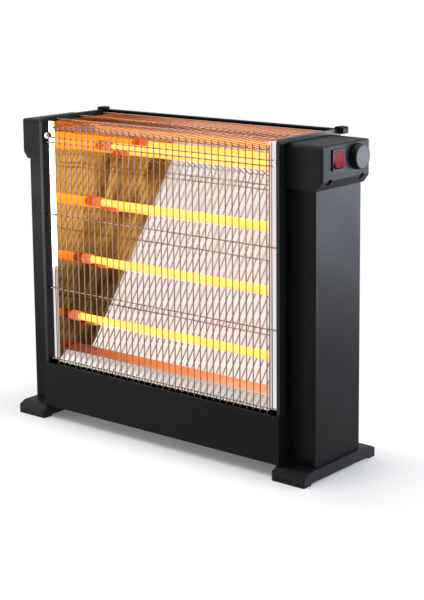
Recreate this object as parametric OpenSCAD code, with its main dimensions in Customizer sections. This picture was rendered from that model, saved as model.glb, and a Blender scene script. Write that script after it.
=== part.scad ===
// Free-standing electric bar heater with five quartz tubes.
// X points to the right (the control side), Y to the back and Z up. The origin is on the
// floor, in the middle of the whole width with the knob. All sizes are in millimetres.

/* [Body] */
// Clear width between the two side frames
opening_w = 480; // [380:5:620]
// Height of the top caps at their outer edge above the floor
stand_h = 500; // [440:5:600]
// Depth of the side frames, front edge to back edge
frame_d = 160; // [150:5:200]
// Thickness of the side frame plates
frame_t = 1.5; // [1:0.1:2.5]
// Width of the box hem along the front and top of a side frame
hem_w = 6; // [5:0.5:9]
// Depth of that hem at the front
hem_d = 12.5; // [10:0.5:16]
// Height of the side frames above the outer edge of the caps
frame_rim = 8; // [6.5:0.5:10]
// Width of one column, from the side frame to its outer face
column_w = 54; // [46:1:80]
// Depth of one column
column_d = 116; // [110:1:140]
// Thickness of the column and panel sheet
sheet_t = 0.8; // [0.6:0.1:1.6]

/* [Feet] */
// Width of one foot
foot_w = 60; // [50:1:80]
// Length of one foot, front to back
foot_l = 188; // [180:2:240]
// Height of one foot
foot_h = 20; // [16:1:30]
// Height of the upright nose at each end of a foot
foot_nose_h = 13; // [10:0.5:15]
// Length of each end pad that touches the floor
foot_pad_l = 18; // [12:1:30]
// Height of the hollow under a foot between its pads
foot_relief = 3; // [2:0.5:5]

/* [Top caps] */
// Overhang of a cap beyond the outer face of its column
cap_overhang = 13.5; // [10:0.5:25]
// Height of a cap from its lower edge to its outer top edge
cap_h = 66; // [60:1:80]
// Height of the sloping part under the overhang
cap_slope_h = 14; // [10:1:20]
// Rise of the cap top from its outer edge to its inner edge
cap_rise = 1.5; // [0:0.5:4]
// Wall of the moulded caps
cap_wall = 2; // [1.6:0.2:3]
// Diameter of the pockets for the cap screws
pocket_d = 10; // [9:0.5:12]
// Distance of the cap screws from the middle of the column, front and back
cap_screw_y = 41; // [30:1:46]
// Height of the cap screws above the lower edge of the cap
cap_screw_rise = 12; // [8:0.5:13]

/* [Front panel] */
// Height of the top edge of the front panel above the floor
panel_top = 95; // [80:1:120]
// How far the front panel stands in front of the side frames
panel_proud = 4; // [3:0.5:8]

/* [Wire guard] */
// Number of upright wires
wire_count = 35; // [15:1:41]
// Diameter of the upright wires
wire_d = 2; // [1.6:0.1:2.6]
// Diameter of the cross wires
cross_d = 2.2; // [1.8:0.1:2.6]
// Distance of the first and last upright wire inside the end reflectors
wire_margin = 1; // [0.5:0.5:6]
// Inner radius of the bend over the front top edge
wire_bend_r = 7; // [5:0.5:12]
// Step between the cross wire levels
cross_step = 124; // [100:1:126]
// Gap between the two cross wires of the upper pair
pair_gap = 8.5; // [7.5:0.5:12]
// Distance of the upper pair below the outer edge of the caps
pair_drop = 29; // [24:1:36]

/* [Reflectors] */
// Thickness of the polished reflector sheet
mirror_t = 0.6; // [0.4:0.1:1]
// Space between a side frame and its end reflector
end_space = 20; // [18:0.5:26]
// Height of the rear reflector's front edge above the front panel
mirror_rise = 11; // [9:0.5:16]
// Depth of the flat lower part of the rear reflector
mirror_setback = 34.5; // [28:0.5:40]
// Depth of the rear reflector's upper bend under the outer edge of the caps
knee_drop = 38; // [34:1:46]
// Radius of the rear reflector's upper bend
knee_r = 40; // [20:1:60]

/* [Heating tubes] */
// Outer diameter of the quartz tubes
tube_d = 12; // [10:0.5:13]
// Wall of the quartz tubes
tube_wall = 1.2; // [1:0.1:1.5]
// Distance of the four sloping tubes in front of the rear reflector
tube_stand_off = 20; // [16:0.5:24]
// Height of the lowest tube above the front panel
low_tube_rise = 77; // [66:1:84]
// Depth of the fourth tube under the outer edge of the caps
upper_tube_drop = 51; // [48:1:56]
// Depth of the top tube under the outer edge of the caps
top_tube_drop = 18; // [16:1:20]
// Distance of the top tube in front of the rear reflector
top_tube_ahead = 64; // [56:1:72]
// Length of a ceramic end that shows inside the chamber
ceramic_show = 18; // [10:1:24]

/* [Controls] */
// Width of the rocker switch bezel, front to back
bezel_w = 30; // [28:0.5:32]
// Height of the rocker switch bezel
bezel_h = 31; // [30:0.5:33]
// Distance of the rocker switch in front of the middle plane
rocker_y = 22; // [18:0.5:24]
// Tilt of the rocker to each side of its middle position, in degrees
rocker_tilt = 8; // [5:0.5:9]
// Diameter of the selector knob at its skirt
knob_d = 39; // [34:0.5:42]
// Height of the selector knob off the housing
knob_h = 10; // [9:0.5:16]
// Distance of the selector knob behind the middle plane
knob_y = 27.5; // [26:0.5:36]
// Diameter of the selector shaft
shaft_d = 6; // [5:0.5:6.5]
// Diameter of the insulated leads
lead_d = 2.5; // [2:0.1:3.5]
// Bending radius of the insulated leads
lead_bend = 4; // [3.5:0.5:4.5]
// Height of both controls below the outer edge of the caps
control_drop = 23; // [21:0.5:25]

/* [Clearances] */
// Gap between pieces that seat on each other
seat_gap = 0.2; // [0.1:0.05:0.3]
// Radial running clearance of pins and shafts
run_gap = 0.05; // [0.02:0.01:0.1]
// Gap between a moving piece and the wall beside it
move_gap = 0.4; // [0.3:0.05:0.6]
// Radial clearance of holes for wires and tubes
hole_gap = 0.4; // [0.2:0.05:0.6]

/* [Hidden] */
$fn = 48;

// Side frames and columns
frame_in = opening_w / 2;
frame_out = frame_in + frame_t;
frame_front = -frame_d / 2;
frame_top = stand_h + frame_rim;
frame_base = foot_h + seat_gap;
frame_corner_r = 8;
hem_out = frame_in + hem_w;
hem_back = frame_front + hem_d;
hem_low = stand_h + cap_rise + seat_gap;
column_in = frame_out + seat_gap;
column_out = frame_in + column_w;
column_lip = 10;
column_bend_r = 2;
foot_end = foot_l / 2;
foot_inner_end = foot_end - foot_pad_l;
foot_skin = 3.5;
foot_cell_l = (foot_inner_end - 6) / 2;
foot_screw_y = foot_cell_l / 2;
foot_screw_l = 7;

// Caps
cap_in = frame_out + seat_gap;
cap_out = column_out + cap_overhang;
cap_base = stand_h - cap_h;
cap_fit = column_d / 2 + move_gap;
cap_face = cap_fit + cap_wall;
cap_skirt = column_out + move_gap;
cap_inner_top = stand_h + cap_rise;
cap_front_r = 10;
cap_corner_r = 4;
cap_screw_z = cap_base + cap_screw_rise;
cap_screw_l = 8;
cap_boss_r = pocket_d / 2 + 1.6;
column_top = cap_screw_z + 7;
screw_d = 3.5;
screw_core_d = 2.9;
screw_head_d = 7;
screw_head_h = 2.2;

// Controls
control_z = stand_h - control_drop;
rocker_pivot = 3;
bezel_t = 2.2;
bezel_lap = 1.5;
rocker_cut_w = bezel_w - 2 * bezel_lap + 2 * seat_gap;
rocker_cut_h = bezel_h - 2 * bezel_lap + 2 * seat_gap;
rocker_w = bezel_w - 7;
rocker_h = bezel_h - 5.2;
rocker_depth = 16;
rocker_back = rocker_depth + 3;
rocker_pin_d = 3;
knob_skirt_h = 3;
knob_dome = 0.7;
knob_reach = knob_h + knob_dome;
knob_disc_r = knob_d / 2 - 2.1;
knob_grip_r = knob_d / 2 - 0.6;
bush_d = 9;
nut_h = 2;
selector_body = 28;
selector_back = cap_wall + 15;
blade_l = 7;
blade_w = 4.8;
blade_t = 0.8;
blade_step = 8;

// Wires: the cross wires lie behind the upright wires and in front of the end flanges
flange_y = frame_front + 8;
weld_gap = 0.05;
cross_y = flange_y - cross_d / 2 - seat_gap;
wire_y = cross_y - cross_d / 2 - wire_d / 2 - weld_gap;
chamber_x = frame_in - end_space;
wire_span = 2 * (chamber_x - wire_margin);
wire_step = wire_span / (wire_count - 1);
wire_top = frame_top - 3;
wire_base = panel_top - 7;
wire_turn_r = wire_bend_r + wire_d / 2;
// The rail's lip ends just above the top wires, and its bends are no larger than the lip
rail_bend_r = min(1.6, frame_top - wire_top - wire_d / 2 - 2 * seat_gap);
top_cross_z = wire_top - wire_d / 2 - cross_d / 2 - weld_gap;
wire_back = frame_d / 2 - 3;
pair_z = stand_h - pair_drop;
level_2 = pair_z - cross_step;
level_3 = level_2 - cross_step;
level_low = panel_top + 7;
cross_levels = [pair_z + pair_gap / 2, pair_z - pair_gap / 2, level_2, level_3, level_low];
top_cross_rows = [-0.3 * frame_d, 0.05 * frame_d, 0.4 * frame_d];
guard_washer_d = 10;
guard_washer_t = 1;
guard_screw_d = 2.8;
guard_screw_x = frame_in - guard_washer_d / 2 - seat_gap;
// The left screw holds the upper wire of the pair from above, the right one sits between the two
guard_screw_lift = pair_gap / 2 + cross_d / 2 + guard_screw_d / 2 + 0.3;
guard_screw_z = [pair_z + guard_screw_lift, pair_z];

// Rear reflector outline, in Y and Z
mirror_front = flange_y;
mirror_lip_z = panel_top + mirror_rise;
mirror_lip_h = 5;
mirror_foot = [mirror_front + mirror_setback, mirror_lip_z + 6];
mirror_back = frame_d / 2 - sheet_t - seat_gap - 0.3;
mirror_knee = [mirror_back - 2, stand_h - knee_drop];
mirror_top = top_cross_z - cross_d / 2 - seat_gap;
lean = atan2(mirror_knee[0] - mirror_foot[0], mirror_knee[1] - mirror_foot[1]);
function mirror_y(z) = mirror_foot[0] + (z - mirror_foot[1]) * tan(lean);

// Heating tubes: four on a line beside the rear reflector, and one at the top
tube_r = tube_d / 2;
low_tube_z = panel_top + low_tube_rise;
slope_tube_z = [for (i = [0:3])
    stand_h - upper_tube_drop - i * (stand_h - upper_tube_drop - low_tube_z) / 3];
ceramic_neck_r = tube_r + 1.2;
// The necks of the ceramic ends stay inside the columns
tube_y_max = column_d / 2 - sheet_t - ceramic_neck_r - hole_gap;
tube_places = concat(
    [for (z = slope_tube_z) [min(mirror_y(z) - tube_stand_off / cos(lean), tube_y_max), z]],
    [[mirror_knee[0] - top_tube_ahead, stand_h - top_tube_drop]]);
ceramic_in = chamber_x - ceramic_show;
ceramic_r = tube_r + 2.2;
ceramic_collar_r = ceramic_r + 2;
ceramic_collar_t = 4;
ceramic_out = frame_out + 9;
stud_r = 2;
stud_out = ceramic_out + 9;
socket_l = 13;
tube_end = ceramic_in + socket_l - 0.3;
coil_r = tube_r - tube_wall - 0.6;
coil_end = tube_end + 4;
coil_wire_d = 0.8;

// Link bars and wiring behind the side frames
bar_w = 8;
bar_t = 1;
bar_x = ceramic_out + seat_gap;
bar_face = bar_x + bar_t + seat_gap;
top_link = [tube_places[4], tube_places[0]];
middle_link = [tube_places[1], tube_places[2]];
low_tab = [tube_places[3], tube_places[3] + 24 * unit(tube_places[2] - tube_places[3])];
block_size = [20, 26, 32];
block_z = 60;
block_x = frame_out + seat_gap + block_size[0] / 2;
block_y = -rocker_y;
return_z = frame_base + 12;
lead_r = lead_d / 2;
gland_z = 62;
gland_hole_r = 6.5;
gland_bore_r = 3.6;

// ---------- helpers ----------

// Everything is drawn about the middle plane of the body, then moved by half the knob
module centred() {
    translate([-knob_reach / 2, 0, 0])
        children();
}

function unit(v) = v / norm(v);

// Arc that rounds the corner b between a and c with radius r
function corner_arc(a, b, c, r, n) =
    let (u = unit(a - b), w = unit(c - b),
         half = acos(u * w) / 2,
         mid = b + unit(u + w) * r / sin(half),
         p = b + u * r / tan(half), q = b + w * r / tan(half),
         a0 = atan2(p[1] - mid[1], p[0] - mid[0]),
         turn = atan2(q[1] - mid[1], q[0] - mid[0]) - a0,
         sweep = turn > 180 ? turn - 360 : turn < -180 ? turn + 360 : turn)
    [for (i = [0:n]) mid + r * [cos(a0 + sweep * i / n), sin(a0 + sweep * i / n)]];

// Closed outline; each corner is [x, y, radius]
function rounded(corners, n = 5) =
    let (m = len(corners), at = [for (k = corners) [k[0], k[1]]])
    [for (i = [0:m - 1]) each
        corners[i][2] == 0 ? [at[i]]
        : corner_arc(at[(i + m - 1) % m], at[i], at[(i + 1) % m], corners[i][2], n)];

// Open path with rounded inner corners, each point [x, y, radius]
function bent(corners, n = 5) =
    let (m = len(corners), at = [for (k = corners) [k[0], k[1]]])
    [for (i = [0:m - 1]) each
        i == 0 || i == m - 1 || corners[i][2] == 0 ? [at[i]]
        : corner_arc(at[i - 1], at[i], at[i + 1], corners[i][2], n)];

function left_of(v) = [-v[1], v[0]];

// Outline of a sheet of thickness t that lies to the left of an open path
function sheet(path, t) =
    let (m = len(path),
         dir = [for (i = [0:m - 2]) unit(path[i + 1] - path[i])],
         side = [for (i = [0:m - 1])
             let (n0 = left_of(dir[max(i - 1, 0)]), n1 = left_of(dir[min(i, m - 2)]))
             path[i] + (n0 + n1) * t / (1 + n0 * n1)])
    concat(path, [for (i = [m - 1:-1:0]) side[i]]);

// Extrude a Y-Z outline from x0 to x1
module along_x(x0, x1) {
    translate([x0, 0, 0])
        rotate([90, 0, 90])
            linear_extrude(x1 - x0)
                children();
}

// Extrude an X-Z outline from y0 to y1
module along_y(y0, y1) {
    translate([0, y1, 0])
        rotate([90, 0, 0])
            linear_extrude(y1 - y0)
                children();
}

// Extrude an X-Y outline from z0 to z1
module along_z(z0, z1) {
    translate([0, 0, z0])
        linear_extrude(z1 - z0)
            children();
}

// Round bar along X
module bar_x_at(x0, x1, y, z, r) {
    translate([x0, y, z])
        rotate([0, 90, 0])
            cylinder(r = r, h = x1 - x0);
}

// Frame of three unit axes at a place
module placed(e1, e2, e3, at) {
    multmatrix([
        [e1[0], e2[0], e3[0], at[0]],
        [e1[1], e2[1], e3[1], at[1]],
        [e1[2], e2[2], e3[2], at[2]],
        [0, 0, 0, 1]])
        children();
}

// Length that a bend of radius r at corner b takes from each of its two legs
function bend_take(a, b, c, r) = r * tan((180 - acos(unit(a - b) * unit(c - b))) / 2);

// Straight round rod between two points
module rod(a, b, r) {
    e3 = unit(b - a);
    e1 = unit(cross(abs(e3[2]) > 0.9 ? [1, 0, 0] : [0, 0, 1], e3));
    placed(e1, cross(e3, e1), e3, a)
        cylinder(r = r, h = norm(b - a), $fn = 16);
}

// Round lead through points in space, with a bend of one radius at each corner
module lead(points, r, bend) {
    last = len(points) - 1;
    for (i = [0:last - 1]) {
        a = points[i];
        b = points[i + 1];
        from = i == 0 ? 0 : bend_take(points[i - 1], a, b, bend);
        to = i == last - 1 ? 0 : bend_take(a, b, points[i + 2], bend);
        rod(a + unit(b - a) * from, b - unit(b - a) * to, r);
    }
    for (i = [1:last - 1]) {
        u = unit(points[i - 1] - points[i]);
        w = unit(points[i + 1] - points[i]);
        turn = 180 - acos(u * w);
        mid = points[i] + unit(u + w) * bend / cos(turn / 2);
        e1 = unit(points[i] + u * bend * tan(turn / 2) - mid);
        placed(e1, -u, cross(e1, -u), mid)
            rotate_extrude(angle = turn, $fn = 48)
                translate([bend, 0])
                    circle(r = r, $fn = 16);
    }
}

// Box from its low corner to its high corner
module box(low, high) {
    translate(low)
        cube(high - low);
}

// ---------- feet ----------

module foot() {
    shoulder = 14;
    wall = 3;
    rib = 1.2;
    difference() {
        intersection() {
            along_x(frame_in, frame_in + foot_w)
                polygon(rounded([
                    [-foot_end, 0, 1], [-foot_inner_end, 0, 0], [-foot_inner_end + 2, foot_relief, 0],
                    [foot_inner_end - 2, foot_relief, 0], [foot_inner_end, 0, 0], [foot_end, 0, 1],
                    [foot_end, foot_nose_h, 4], [foot_end - shoulder, foot_h, 6],
                    [-foot_end + shoulder, foot_h, 6], [-foot_end, foot_nose_h, 4]]));
            along_z(-1, foot_h + 1)
                polygon(rounded([
                    [frame_in, -foot_end, wall], [frame_in + foot_w, -foot_end, wall],
                    [frame_in + foot_w, foot_end, wall], [frame_in, foot_end, wall]]));
        }
        // Hollow moulding underneath, with cross ribs left standing
        for (k = [-2:1])
            box([frame_in + wall, k * foot_cell_l + rib, -1],
                [frame_in + foot_w - wall, (k + 1) * foot_cell_l - rib, foot_h - foot_skin]);
        for (y = [-foot_screw_y, foot_screw_y])
            translate([frame_in + foot_w / 2, y, foot_h - 5])
                cylinder(d = screw_d + 0.4, h = 10);
    }
}

module left_foot() {
    color("#1e1e22") centred()
        mirror([1, 0, 0])
            foot();
}

module right_foot() {
    color("#1e1e22") centred()
        foot();
}

// ---------- side frames ----------

// Side view of a frame
module frame_outline() {
    polygon(rounded([
        [frame_front, frame_base, 0], [-frame_front, frame_base, 0],
        [-frame_front, frame_top, 0], [frame_front, frame_top, frame_corner_r]]));
}

// Strip along the front and top of a frame, in to a line at y = front and z = top
module hem_strip(front, top, r) {
    difference() {
        frame_outline();
        polygon(rounded([
            [front, frame_base - 1, 0], [-frame_front + 1, frame_base - 1, 0],
            [-frame_front + 1, top, 0], [front, top, r]]));
    }
}

module side_frame() {
    flange_half = column_d / 2 - column_lip - seat_gap;
    difference() {
        union() {
            along_x(frame_in, frame_out)
                frame_outline();
            // Box hem along the front and the top: its edge, and the lip that it returns with
            along_x(frame_in, hem_out)
                hem_strip(frame_front + frame_t, frame_top - frame_t, frame_corner_r - frame_t);
            along_x(hem_out - frame_t, hem_out)
                hem_strip(hem_back, hem_low, 3);
            // Flange that stands on the foot inside the column
            box([frame_in, -flange_half, frame_base],
                [column_out - sheet_t - seat_gap, flange_half, frame_base + frame_t]);
        }
        for (p = tube_places)
            bar_x_at(frame_in - 1, frame_out + 1, p[0], p[1], ceramic_neck_r + hole_gap);
        // Holes that the ends of the cross wires hook into
        for (z = cross_levels)
            bar_x_at(frame_in - 1, frame_out + 1, cross_y, z, cross_d / 2 + hole_gap);
        // Hole for the return lead
        bar_x_at(frame_in - 1, frame_out + 1, block_y, return_z, lead_r + hole_gap);
        for (y = [-foot_screw_y, foot_screw_y])
            translate([frame_in + foot_w / 2, y, frame_base - 1])
                cylinder(d = screw_core_d + 0.2, h = 5);
    }
}

module left_side_frame() {
    color("#26262a") centred()
        mirror([1, 0, 0])
            side_frame();
}

module right_side_frame() {
    color("#26262a") centred()
        side_frame();
}

// ---------- columns ----------

module column() {
    half = column_d / 2;
    difference() {
        along_z(frame_base, column_top)
            polygon(sheet(bent([
                [column_in, -half + column_lip, 0], [column_in, -half, column_bend_r],
                [column_out, -half, column_bend_r], [column_out, half, column_bend_r],
                [column_in, half, column_bend_r], [column_in, half - column_lip, 0]]), sheet_t));
        for (y = [-cap_screw_y, cap_screw_y])
            bar_x_at(column_out - 3, column_out + 1, y, cap_screw_z, screw_core_d / 2 + 0.1);
        // The lips clear the necks of the ceramic ends
        for (p = tube_places)
            bar_x_at(column_in - 1, column_in + 4, p[0], p[1], ceramic_neck_r + hole_gap);
    }
}

module left_column() {
    color("#2c2c31") centred()
        mirror([1, 0, 0])
            column();
}

module cord_hole() {
    translate([(column_in + column_out) / 2, column_d / 2 + 1, gland_z])
        rotate([90, 0, 0])
            cylinder(r = gland_hole_r + hole_gap, h = 5);
}

module right_column() {
    color("#2c2c31") centred()
        difference() {
            column();
            cord_hole();
        }
}

// ---------- top caps ----------

module cap_outline() {
    polygon(rounded([
        [cap_in, cap_base, 0], [cap_skirt + cap_wall, cap_base, 1],
        [cap_out, cap_base + cap_slope_h, 3], [cap_out, stand_h, 2.5], [cap_in, cap_inner_top, 0]]));
}

// Room inside a cap, open below for the column and beside the side frame
module cap_hollow() {
    side = cap_out - cap_wall;
    roof = cap_wall + 1.5;
    polygon([
        [cap_in - 1, cap_base - 1], [cap_skirt, cap_base - 1], [cap_skirt, cap_base + 3],
        [side, cap_base + cap_slope_h + 2], [side, stand_h - roof],
        [cap_in - 1, cap_inner_top - roof]]);
}

module cap_body() {
    groove = 0.6;
    groove_w = 1.2;
    groove_step = 5;
    side_gap = 4.5;
    difference() {
        intersection() {
            along_y(-cap_face, cap_face)
                cap_outline();
            along_z(cap_base - 1, cap_inner_top + 1)
                polygon(rounded([
                    [cap_in, -cap_face, 0], [cap_out, -cap_face, cap_corner_r],
                    [cap_out, cap_face, cap_corner_r], [cap_in, cap_face, 0]]));
            // Front and rear top edges are rolled over
            along_x(cap_in - 1, cap_out + 1)
                polygon(rounded([
                    [-cap_face, cap_base - 1, 0], [cap_face, cap_base - 1, 0],
                    [cap_face, cap_inner_top, cap_front_r],
                    [-cap_face, cap_inner_top, cap_front_r]], 8));
        }
        difference() {
            along_y(-cap_fit, cap_fit)
                cap_hollow();
            // Bosses behind the screw pockets
            for (y = [-cap_screw_y, cap_screw_y])
                bar_x_at(cap_skirt, cap_out, y, cap_screw_z, cap_boss_r);
        }
        for (y = [-cap_screw_y, cap_screw_y]) {
            bar_x_at(cap_skirt + cap_wall, cap_out + 1, y, cap_screw_z, pocket_d / 2);
            bar_x_at(cap_skirt - 1, cap_out, y, cap_screw_z, screw_d / 2 + 0.2);
        }
        // Fine grooves across the back of the top
        for (k = [2:4])
            along_y(cap_face - groove_step * k - groove_w, cap_face - groove_step * k)
                polygon([
                    [hem_out + side_gap, cap_inner_top - groove], [cap_out - side_gap, stand_h - groove],
                    [cap_out - side_gap, frame_top], [hem_out + side_gap, frame_top]]);
    }
}

module left_top_cap() {
    color("#303036") centred()
        mirror([1, 0, 0])
            cap_body();
}

module right_control_housing() {
    color("#303036") centred()
        difference() {
            cap_body();
            // Cut-out for the rocker switch
            at_rocker()
                box([-cap_wall - 1, -rocker_cut_w / 2, -rocker_cut_h / 2],
                    [1, rocker_cut_w / 2, rocker_cut_h / 2]);
            // Hole for the bush of the selector switch
            bar_x_at(cap_out - cap_wall - 1, cap_out + 1, knob_y, control_z, bush_d / 2 + 0.1);
        }
}

// ---------- panels ----------

module front_base_panel() {
    face = frame_front - panel_proud;
    end_in = hem_out + seat_gap;
    end_x = end_in + sheet_t;
    back = -column_d / 2 - 1;
    color("#232226") centred() {
        difference() {
            // Front skin with its hemmed top edge and its lower flange
            along_x(-end_x, end_x)
                polygon(sheet(bent([
                    [face + 6, panel_top - 7, 0], [face + 6, panel_top, 1.4], [face, panel_top, 2.5],
                    [face, frame_base, 2.5], [face + 15, frame_base, 0]]), sheet_t));
            // Room for the side frames at each end
            for (s = [-1, 1])
                translate([s * (frame_in + hem_out) / 2, 0, 0])
                    box([-hem_w / 2 - seat_gap, frame_front - seat_gap, 0],
                        [hem_w / 2 + seat_gap, 0, panel_top + 5]);
        }
        // End returns beside the side frames
        for (s = [-1, 1])
            mirror([s < 0 ? 1 : 0, 0, 0])
                box([end_in, face + 0.5, frame_base + 1],
                    [end_x, back, panel_top - 1.5]);
    }
}

module base_pan() {
    slot_step = 44;
    slots = floor(opening_w / (slot_step + 4));
    low = frame_base + 4;
    color("#2a2a2e") centred()
        difference() {
            box([-frame_in + seat_gap, frame_front + 12, low],
                [frame_in - seat_gap, frame_d / 2 - sheet_t - seat_gap, low + sheet_t]);
            for (i = [0:slots - 1])
                for (y = [-20, 20])
                    translate([(i - (slots - 1) / 2) * slot_step, y, low])
                        box([-14, -2.5, -1], [14, 2.5, sheet_t + 1]);
        }
}

module back_panel() {
    inner = frame_d / 2 - sheet_t;
    slot_step = 32;
    row_step = 12;
    slots = floor(opening_w / (slot_step + 2));
    rows = [for (k = [0:2]) each [panel_top - 35 + k * row_step, stand_h - 72 - k * row_step]];
    color("#2a2a2e") centred() {
        difference() {
            box([-frame_in + seat_gap, inner, frame_base + 1],
                [frame_in - seat_gap, frame_d / 2, stand_h - 4]);
            for (z = rows)
                for (i = [0:slots - 1])
                    translate([(i - (slots - 1) / 2) * slot_step, inner, z])
                        box([-11, -1, -2], [11, 3, 2]);
        }
        // Hoods pressed out over the slots
        for (z = rows)
            for (i = [0:slots - 1])
                translate([(i - (slots - 1) / 2) * slot_step, frame_d / 2 - 0.2, z])
                    along_x(-12.5, 12.5)
                        polygon([[0, 2.2], [0, 4], [1.2, 4], [3.4, -1.4], [2.4, -1.8], [0.6, 2.2]]);
    }
}

module rear_top_rail() {
    back = frame_d / 2;
    color("#1b1b1e") centred()
        along_x(-frame_in + seat_gap, frame_in - seat_gap)
            polygon(sheet(bent([
                [back, stand_h - 3.5, 0], [back, frame_top, rail_bend_r],
                [back - 9, frame_top, rail_bend_r],
                [back - 9, wire_top + wire_d / 2 + seat_gap, 0]]), sheet_t));
}

// Moulded clips over the rear top corners, with a leg down the outside of each frame
module rear_corner_clips() {
    back = frame_d / 2;
    over = frame_top + seat_gap;
    leg = hem_out + seat_gap;
    leg_w = 8.8;
    leg_l = 7;
    clip_t = 3.8;
    lap = 1.5;
    color("#1b1b1e") centred()
        for (s = [0, 1])
            mirror([s, 0, 0])
                along_y(back - 13, back + 1)
                    polygon(rounded([
                        [frame_in - lap, over, 0], [leg, over, 0], [leg, over - leg_l, 0],
                        [leg + leg_w, over - leg_l, 1], [leg + leg_w, over + clip_t, 3],
                        [frame_in - lap, over + clip_t, 3]], 3));
}

// ---------- reflectors ----------

module rear_reflector() {
    color("#e8dcd4") centred()
        along_x(-chamber_x + seat_gap, chamber_x - seat_gap)
            polygon(sheet(bent([
                [mirror_front + 7, mirror_lip_z - mirror_lip_h, 0],
                [mirror_front, mirror_lip_z - mirror_lip_h, 0],
                [mirror_front, mirror_lip_z, 1],
                [mirror_foot[0], mirror_foot[1], 3],
                [mirror_knee[0], mirror_knee[1], knee_r],
                [mirror_knee[0], mirror_top, 1],
                [mirror_knee[0] - 7, mirror_top, 0]]), -mirror_t));
}

module end_reflector(screw_z) {
    low = mirror_lip_z - mirror_lip_h;
    fold = chamber_x + 6;
    difference() {
        union() {
            // End plate beside the tubes, cut to the lean of the rear reflector
            along_x(chamber_x, chamber_x + mirror_t)
                polygon([
                    [mirror_front, low], [mirror_front + 9, low],
                    [mirror_foot[0] + 7, mirror_foot[1] - 2],
                    [mirror_back, mirror_knee[1] - 10], [mirror_back, mirror_top],
                    [mirror_front, mirror_top]]);
            // Front flange with a raised fold down its inner third
            along_z(low, mirror_top)
                polygon(sheet([
                    [chamber_x, mirror_front], [fold - 1, mirror_front],
                    [fold, mirror_front + 1.6], [fold + 1, mirror_front],
                    [frame_in - seat_gap, mirror_front]], mirror_t));
            // Top flange out to the side frame
            box([chamber_x, mirror_front, mirror_top - mirror_t],
                [frame_in - seat_gap, mirror_back, mirror_top]);
        }
        for (p = tube_places)
            bar_x_at(chamber_x - 1, chamber_x + mirror_t + 1, p[0], p[1], ceramic_r + hole_gap);
        // Hole for the guard screw
        translate([guard_screw_x, mirror_front - 1, screw_z])
            rotate([-90, 0, 0])
                cylinder(d = guard_screw_d + 0.2, h = 4);
    }
}

module left_end_reflector() {
    color("#f0ece8") centred()
        mirror([1, 0, 0])
            end_reflector(guard_screw_z[0]);
}

module right_end_reflector() {
    color("#f0ece8") centred()
        end_reflector(guard_screw_z[1]);
}

// ---------- wire guard ----------

module front_guard_wires() {
    color("#b9aaa2") centred()
        for (i = [0:wire_count - 1])
            translate([-wire_span / 2 + i * wire_step, wire_y, 0]) {
                translate([0, 0, wire_base])
                    cylinder(d = wire_d, h = wire_top - wire_turn_r - wire_base, $fn = 16);
                // Bend back over the front top edge
                translate([0, wire_turn_r, wire_top - wire_turn_r])
                    rotate([90, 0, -90])
                        rotate_extrude(angle = 90, $fn = 48)
                            translate([wire_turn_r, 0])
                                circle(d = wire_d, $fn = 16);
            }
}

module top_guard_wires() {
    front = wire_y + wire_turn_r + weld_gap;
    color("#b9aaa2") centred()
        for (i = [0:wire_count - 1])
            translate([-wire_span / 2 + i * wire_step, front, wire_top])
                rotate([-90, 0, 0])
                    cylinder(d = wire_d, h = wire_back - front, $fn = 16);
}

module guard_cross_wires() {
    color("#a89c96") centred()
        for (z = cross_levels)
            bar_x_at(-frame_out - 1.5, frame_out + 1.5, cross_y, z, cross_d / 2, $fn = 16);
}

module top_cross_wires() {
    color("#a89c96") centred()
        for (y = top_cross_rows)
            bar_x_at(-frame_in + seat_gap, frame_in - seat_gap, y, top_cross_z, cross_d / 2, $fn = 16);
}

// Places of the two washers, face towards the front
module at_guard_screws() {
    for (k = [0, 1])
        translate([(2 * k - 1) * guard_screw_x, cross_y - cross_d / 2 - seat_gap / 2, guard_screw_z[k]])
            rotate([90, 0, 0])
                children();
}

module guard_washers() {
    color("#d8d6d2") centred()
        at_guard_screws()
            difference() {
                cylinder(d = guard_washer_d, h = guard_washer_t);
                translate([0, 0, -1])
                    cylinder(d = guard_screw_d + 0.4, h = 3);
            }
}

module guard_screws() {
    color("#8a8886") centred()
        at_guard_screws()
            translate([0, 0, guard_washer_t + weld_gap])
                difference() {
                    union() {
                        cylinder(d = 6, h = 1.8);
                        translate([0, 0, -8])
                            cylinder(d = guard_screw_d, h = 8.5);
                    }
                    translate([-2.2, -0.4, 0.9])
                        cube([4.4, 0.8, 2]);
                }
}

// ---------- heating tubes ----------

module quartz_tube(i) {
    p = tube_places[i];
    color("#ffd23c") centred()
        difference() {
            bar_x_at(-tube_end, tube_end, p[0], p[1], tube_r);
            bar_x_at(-tube_end - 1, tube_end + 1, p[0], p[1], tube_r - tube_wall);
        }
}

// The close winding is drawn as a sleeve with the size of the coil
module heating_coil(i) {
    p = tube_places[i];
    color("#ff9a20") centred()
        difference() {
            bar_x_at(-coil_end, coil_end, p[0], p[1], coil_r);
            bar_x_at(-coil_end - 1, coil_end + 1, p[0], p[1], coil_r - coil_wire_d);
        }
}

module quartz_tube_1() { quartz_tube(0); }
module quartz_tube_2() { quartz_tube(1); }
module quartz_tube_3() { quartz_tube(2); }
module quartz_tube_4() { quartz_tube(3); }
module quartz_tube_5() { quartz_tube(4); }
module heating_coil_1() { heating_coil(0); }
module heating_coil_2() { heating_coil(1); }
module heating_coil_3() { heating_coil(2); }
module heating_coil_4() { heating_coil(3); }
module heating_coil_5() { heating_coil(4); }

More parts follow.
